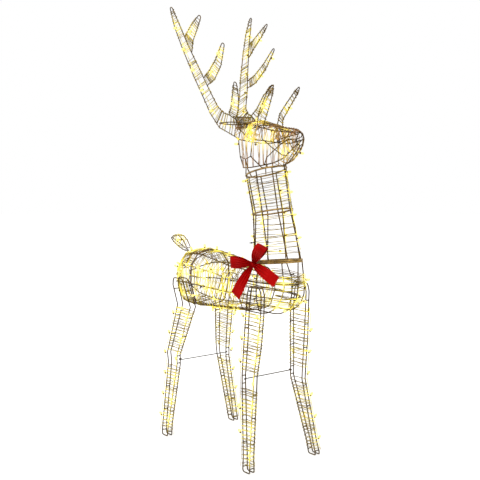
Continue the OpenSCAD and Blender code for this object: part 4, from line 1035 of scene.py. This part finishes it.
# ---------- frame rods: rounded from their six-sided sweeps, with weld beads ----------
RODS = [n for n in nodes if node_slot[n] in ("frame_wire", "seam_ring", "brace_wire")]
for name in RODS:
    ob = nodes[name]
    for f in ob.data.polygons:
        f.use_smooth = True
    m = ob.modifiers.new("join", "WELD")
    m.merge_threshold = 0.00002    # the CAD mesh's faces don't share corners
    m = ob.modifiers.new("round", "BEVEL")
    m.limit_method, m.angle_limit = "ANGLE", math.radians(35)
    m.offset_type, m.width, m.segments = "OFFSET", 0.0004, 1
    m.use_clamp_overlap = True
    m = ob.modifiers.new("shade", "WEIGHTED_NORMAL")
    m.mode, m.keep_sharp = "FACE_AREA", False


WELD_REACH = 0.00045     # m between two wires that are welded
ONE_WELD = 0.006         # m across, the touching points that one bead covers
PROBE_STEP = 0.003       # m between the points tried along a wire


def weld_points(names):
    """Places where two separate wires come within WELD_REACH of each other."""
    verts, faces, owner, probes = [], [], [], []
    count = 0
    for name in names:
        ob = nodes[name]
        me = ob.data
        group_of = {}
        for group in islands(ob):
            for i in group:
                group_of[i] = count
            count += 1
        base = len(verts)
        verts += [tuple(v.co) for v in me.vertices]
        for f in me.polygons:
            faces.append([base + i for i in f.vertices])
            owner.append(group_of[f.vertices[0]])
        probes += [(Vector(v.co), group_of[v.index]) for v in me.vertices]
        for e in me.edges:
            a, b = (me.vertices[i].co for i in e.vertices)
            n = int((b - a).length / PROBE_STEP)
            probes += [(a.lerp(b, (j + 1) / (n + 1)), group_of[e.vertices[0]]) for j in range(n)]
    tree = BVHTree.FromPolygons(verts, faces)
    hits = {}
    for p, mine in probes:
        for at, _, index, _ in tree.find_nearest_range(p, WELD_REACH):
            if owner[index] != mine:
                mid = (p + at) / 2
                hits.setdefault((min(mine, owner[index]), max(mine, owner[index])), []).append(mid)
    spots = []
    for pts in hits.values():
        while pts:
            near = [q for q in pts if (q - pts[0]).length < ONE_WELD]
            pts = [q for q in pts if (q - pts[0]).length >= ONE_WELD]
            spots.append(sum(near, Vector()) / len(near))
    return spots


def beads(spots, name, rng):
    """Small lumpy weld beads that bridge the hairline between two wires."""
    bm = bmesh.new()
    for c in spots:
        verts = bmesh.ops.create_icosphere(bm, subdivisions=2, radius=1)["verts"]
        grow = rng.uniform(0.0021, 0.0026)
        shape = Matrix.Diagonal((grow * rng.uniform(0.9, 1.15), grow * rng.uniform(0.9, 1.15),
                                 grow * rng.uniform(0.85, 1.1), 1))
        seed = [rng.uniform(0, 9) for _ in range(3)]
        for v in verts:
            w = 1 + 0.1 * math.sin(5 * v.co.x + seed[0]) * math.sin(4 * v.co.y + seed[1]) \
                + 0.07 * math.sin(6 * v.co.z + seed[2])
            v.co = shape @ (v.co * w) + c
            v.co.z = max(v.co.z, 0.0)
    finish_mesh(bm, name, weld_mat, "deer")


beads(weld_points([n for n in RODS if "brace" not in n]), "weld_beads", random.Random(3))


# ---------- cable ties ----------
TIE_THICK, TOOTH = 0.45, 0.12     # half a tie's thickness, and its teeth
TIE_HEAD, TIE_END = (1.7, 2.1, 2.2), (3.6, 0.45, 1.2)


def strap(bm, centre, a, b, half_a, half_b, rng):
    """A nylon tie drawn round two wires: toothed band, square head and cut tail.
    a and b span its plane, half_a and half_b are its half sizes."""
    axis = np.cross(a, b)
    n = 28
    rings = []
    for i in range(n):
        th = 2 * math.pi * i / n
        out = unit(a * math.cos(th) / half_a + b * math.sin(th) / half_b)
        p = centre + a * math.cos(th) * half_a + b * math.sin(th) * half_b
        top = TIE_THICK + TOOTH * (i % 2)
        rings.append([bm.verts.new((p + out * o + axis * w) * MM)
                      for o, w in ((-TIE_THICK, -1.3), (top, -1.2), (top, 1.2),
                                   (-TIE_THICK, 1.3))])
    skin(bm, rings + rings[:1])
    head = centre + a * (half_a + 1.2)
    blocks = [(head, a, b, axis, TIE_HEAD)]
    lean = unit(a + b * rng.uniform(0.3, 0.7))
    blocks.append((head + lean * 4.4, lean, unit(np.cross(axis, lean)), axis, TIE_END))
    for c, x, y, z, (hx, hy, hz) in blocks:
        verts = bmesh.ops.create_cube(bm, size=2)["verts"]
        for v in verts:
            v.co = Vector((c + x * v.co.x * hx + y * v.co.y * hy + z * v.co.z * hz) * MM)
        edges = list(dict.fromkeys(e for v in verts for e in v.link_edges))
        bmesh.ops.bevel(bm, geom=edges, offset=0.0003, segments=2, affect="EDGES")


def finish_ties(bm, name, replaced=()):
    """The bevel lists its faces in a new order each run, so they are sorted by place."""
    bm.faces.sort(key=lambda face: face.calc_center_median() @ Vector((1, math.e, math.pi)))
    finish_mesh(bm, name, tie_mat, "deer", replaced, smooth=False)


bm = bmesh.new()
rng = random.Random(17)
for pts in piece_points(nodes["leg_ties"]):
    c = (pts.max(0) + pts.min(0)) / 2
    axes = np.linalg.svd(pts - pts.mean(0))[2]
    a, b = axes[0], axes[1]
    a = a if a @ c * a[1] >= 0 and a[1] * c[1] > 0 else -a
    strap(bm, c, a, b, np.abs((pts - c) @ a).max() - 0.6, np.abs((pts - c) @ b).max() - 0.6, rng)
finish_ties(bm, "frame_ties", ["leg_ties"])

bm = bmesh.new()
LOOSE_TIES = [(R, k, f) for R, rods, shares in (
    (BODY, (7, 3), (0.42, 0.78)), (BODY, (8, 2), (0.62, 0.9)), (CHEST, (1, 5), (0.3, 0.85)),
    (LOWER, (0, 3, 5), (0.4,)), (MUZZLE, (1, 5), (0.25,))) for k in rods for f in shares]
for R, k, f in LOOSE_TIES:
    p, out = ring_at(R, k, f), unit(outward(R, k, f, 1))
    run = rod_way(R, k, f, 0.03)
    out = unit(out - run * (out @ run))
    strap(bm, p + out * 2.6, out, np.cross(run, out), 5.6, 3.1, rng)
finish_ties(bm, "string_ties")


# ---------- bow: gathered satin ribbon ----------
RIBBON_W = 38.0
RIBBON_THICK = 0.0005
Q0 = math.radians(250)
BOW_OUT = unit(np.array((math.cos(Q0) / 100, math.sin(Q0) / 60, 0)))
KNOT = foot_pt(250) + BOW_OUT * (RING_R + GAP + 10)


def spline(points, n):
    """n points on a smooth curve through the given ones (Catmull-Rom), evenly spread."""
    p = np.array([2 * points[0] - points[1]] + list(points) + [2 * points[-1] - points[-2]], float)
    out = []
    for i in range(1, len(p) - 2):
        for j in range(12):
            t = j / 12
            out.append(0.5 * ((2 * p[i]) + (-p[i - 1] + p[i + 1]) * t
                              + (2 * p[i - 1] - 5 * p[i] + 4 * p[i + 1] - p[i + 2]) * t * t
                              + (-p[i - 1] + 3 * p[i] - 3 * p[i + 1] + p[i + 2]) * t ** 3))
    out.append(p[-2])
    out = np.array(out)
    run = lengths(out)
    return resample(np.linspace(0, run[-1], n), run, out), run[-1]


def satin(bm, rows, name, replaced):
    """Makes a thin, softened sheet of ribbon from rows of corners."""
    skin(bm, rows, closed=False)
    ob = finish_mesh(bm, name, ribbon_mat, "deer", replaced)
    s = ob.modifiers.new("thick", "SOLIDIFY")
    s.thickness, s.offset = RIBBON_THICK, 0
    s = ob.modifiers.new("soft", "SUBSURF")
    s.levels = s.render_levels = 1
    return ob


def ribbon(name, points, wide, shown, replaced, seed, cup=2.0, slant=0.0, folds=5):
    """A length of ribbon: shown is its seen width along the run, and the rest lies in pleats."""
    rng = random.Random(seed)
    n, m = 56, 25            # points along and across
    line, length = spline(points, n)
    at = np.linspace(0, 1, n)
    w = np.interp(at, np.linspace(0, 1, len(shown)), shown) * RIBBON_W
    t = directions(line)
    wide = np.array(wide, float)
    wd = resample(at, np.linspace(0, 1, len(wide)), wide)
    phase, lean = rng.uniform(0, 6), rng.uniform(-0.5, 0.5)
    bm = bmesh.new()
    rows = []
    for i in range(n):
        a = unit(wd[i] - t[i] * (wd[i] @ t[i]))
        b = np.cross(t[i], a)
        deep = math.sqrt(max(0.0, RIBBON_W ** 2 - w[i] ** 2)) / (2 * folds)
        soft = math.exp(-max(0.0, w[i] / RIBBON_W - 0.55) * 9)
        row = []
        for j in range(m):
            u = 2 * j / (m - 1) - 1
            pleat = deep * math.sin(folds * math.pi * u / 2 * 1.9 + phase + lean * at[i] * 4)
            wave = cup * (1 - u * u) * math.sin(math.pi * min(1, at[i] * 1.2)) \
                + 0.8 * math.sin(2.3 * u + 5 * at[i] + phase) * (1 - soft)
            shift = slant * u * max(0.0, (at[i] - 0.8) / 0.2)
            at_j = line[i] + a * (w[i] / 2 * u) + b * (pleat + wave) + t[i] * shift
            row.append(bm.verts.new(at_j * MM))
        rows.append(row)
    ob = satin(bm, rows, name, replaced)


def teardrop(d, q, reach):
    """The run of a bow loop from the knot out along d and back, open along q."""
    d, q = unit(np.array(d, float)), unit(np.array(q, float))
    return [KNOT + d * (5 + (reach - 10) * a) + q * b for a, b in
            ((0.0, 1.6), (0.3, 8), (0.62, 13), (0.88, 11.5), (1.0, 4), (1.0, -4), (0.88, -11.5),
             (0.62, -13), (0.3, -8), (0.0, -1.6))]


D_BACK, D_UP = unit(np.array((-0.75, -0.62, 0.06))), unit(np.array((0.79, -0.25, 0.72)))
LOOP_SHOWN = (0.25, 0.55, 0.8, 0.96, 1, 1, 1, 0.96, 0.8, 0.55, 0.25)
ribbon("bow_loop_back", teardrop(D_BACK, np.cross(D_BACK, (0, 0, 1)), 80), [(0, 0, 1)], LOOP_SHOWN,
       ["bow_loops"], 5)
ribbon("bow_loop_up", teardrop(D_UP, np.cross(D_UP, (0.8, 0.35, -0.3)), 101), [(0.8, 0.35, -0.3)],
       LOOP_SHOWN, ["bow_loops"], 8)
TAIL_A = [KNOT + np.array(v) for v in ((-2, -3, -5), (-14, -17, -35), (-28, -25, -61),
                                       (-42, -30, -86), (-55, -33, -107))]
TAIL_B = [KNOT + np.array(v) for v in ((5, -2.5, -2), (36, -12, -7), (66, -13, -18), (92, -7, -32),
                                       (112, 2, -47))]
TAIL_SHOWN = (0.25, 0.5, 0.72, 0.86, 0.94, 1, 1, 1)
ribbon("bow_tail_back", TAIL_A, [(0.75, 0.3, -0.45)], TAIL_SHOWN, ["bow_tails"], 13,
       cup=2.5, slant=2.0, folds=4)
ribbon("bow_tail_front", TAIL_B, [(0.2, 0.25, 0.93)], TAIL_SHOWN, ["bow_tails"], 21,
       cup=2.5, slant=-2.0, folds=4)


def knot_wrap():
    """The centre of the bow: a pleated strip wound once round the gathered loops."""
    axis = unit(np.array((0.35, 0.2, 0.9)) * 0.35 + unit(D_BACK - D_UP) * 1.0)
    x = unit(np.cross(axis, BOW_OUT))
    y = np.cross(axis, x)
    bm = bmesh.new()
    n, m = 54, 27            # points round and across
    rows = []
    for i in range(n):
        th = 2 * math.pi * 1.04 * i / (n - 1)
        grow = 0.35 * i / (n - 1)
        row = []
        for j in range(m):
            u = 2 * j / (m - 1) - 1
            r = 7.9 + grow - 1.6 * u * u + 0.9 * math.sin(9.5 * u + 0.5 * math.sin(th + 1)) \
                + 0.35 * math.sin(2 * th + 3 * u)
            half = 8.6 + 0.6 * math.sin(th * 2 + 0.6)
            out = x * math.cos(th) + y * math.sin(th)
            row.append(bm.verts.new((KNOT + axis * (u * half) + out * r) * MM))
        rows.append(row)
    ob = satin(bm, rows, "bow_knot_wrap", ["bow_knot"])


knot_wrap()
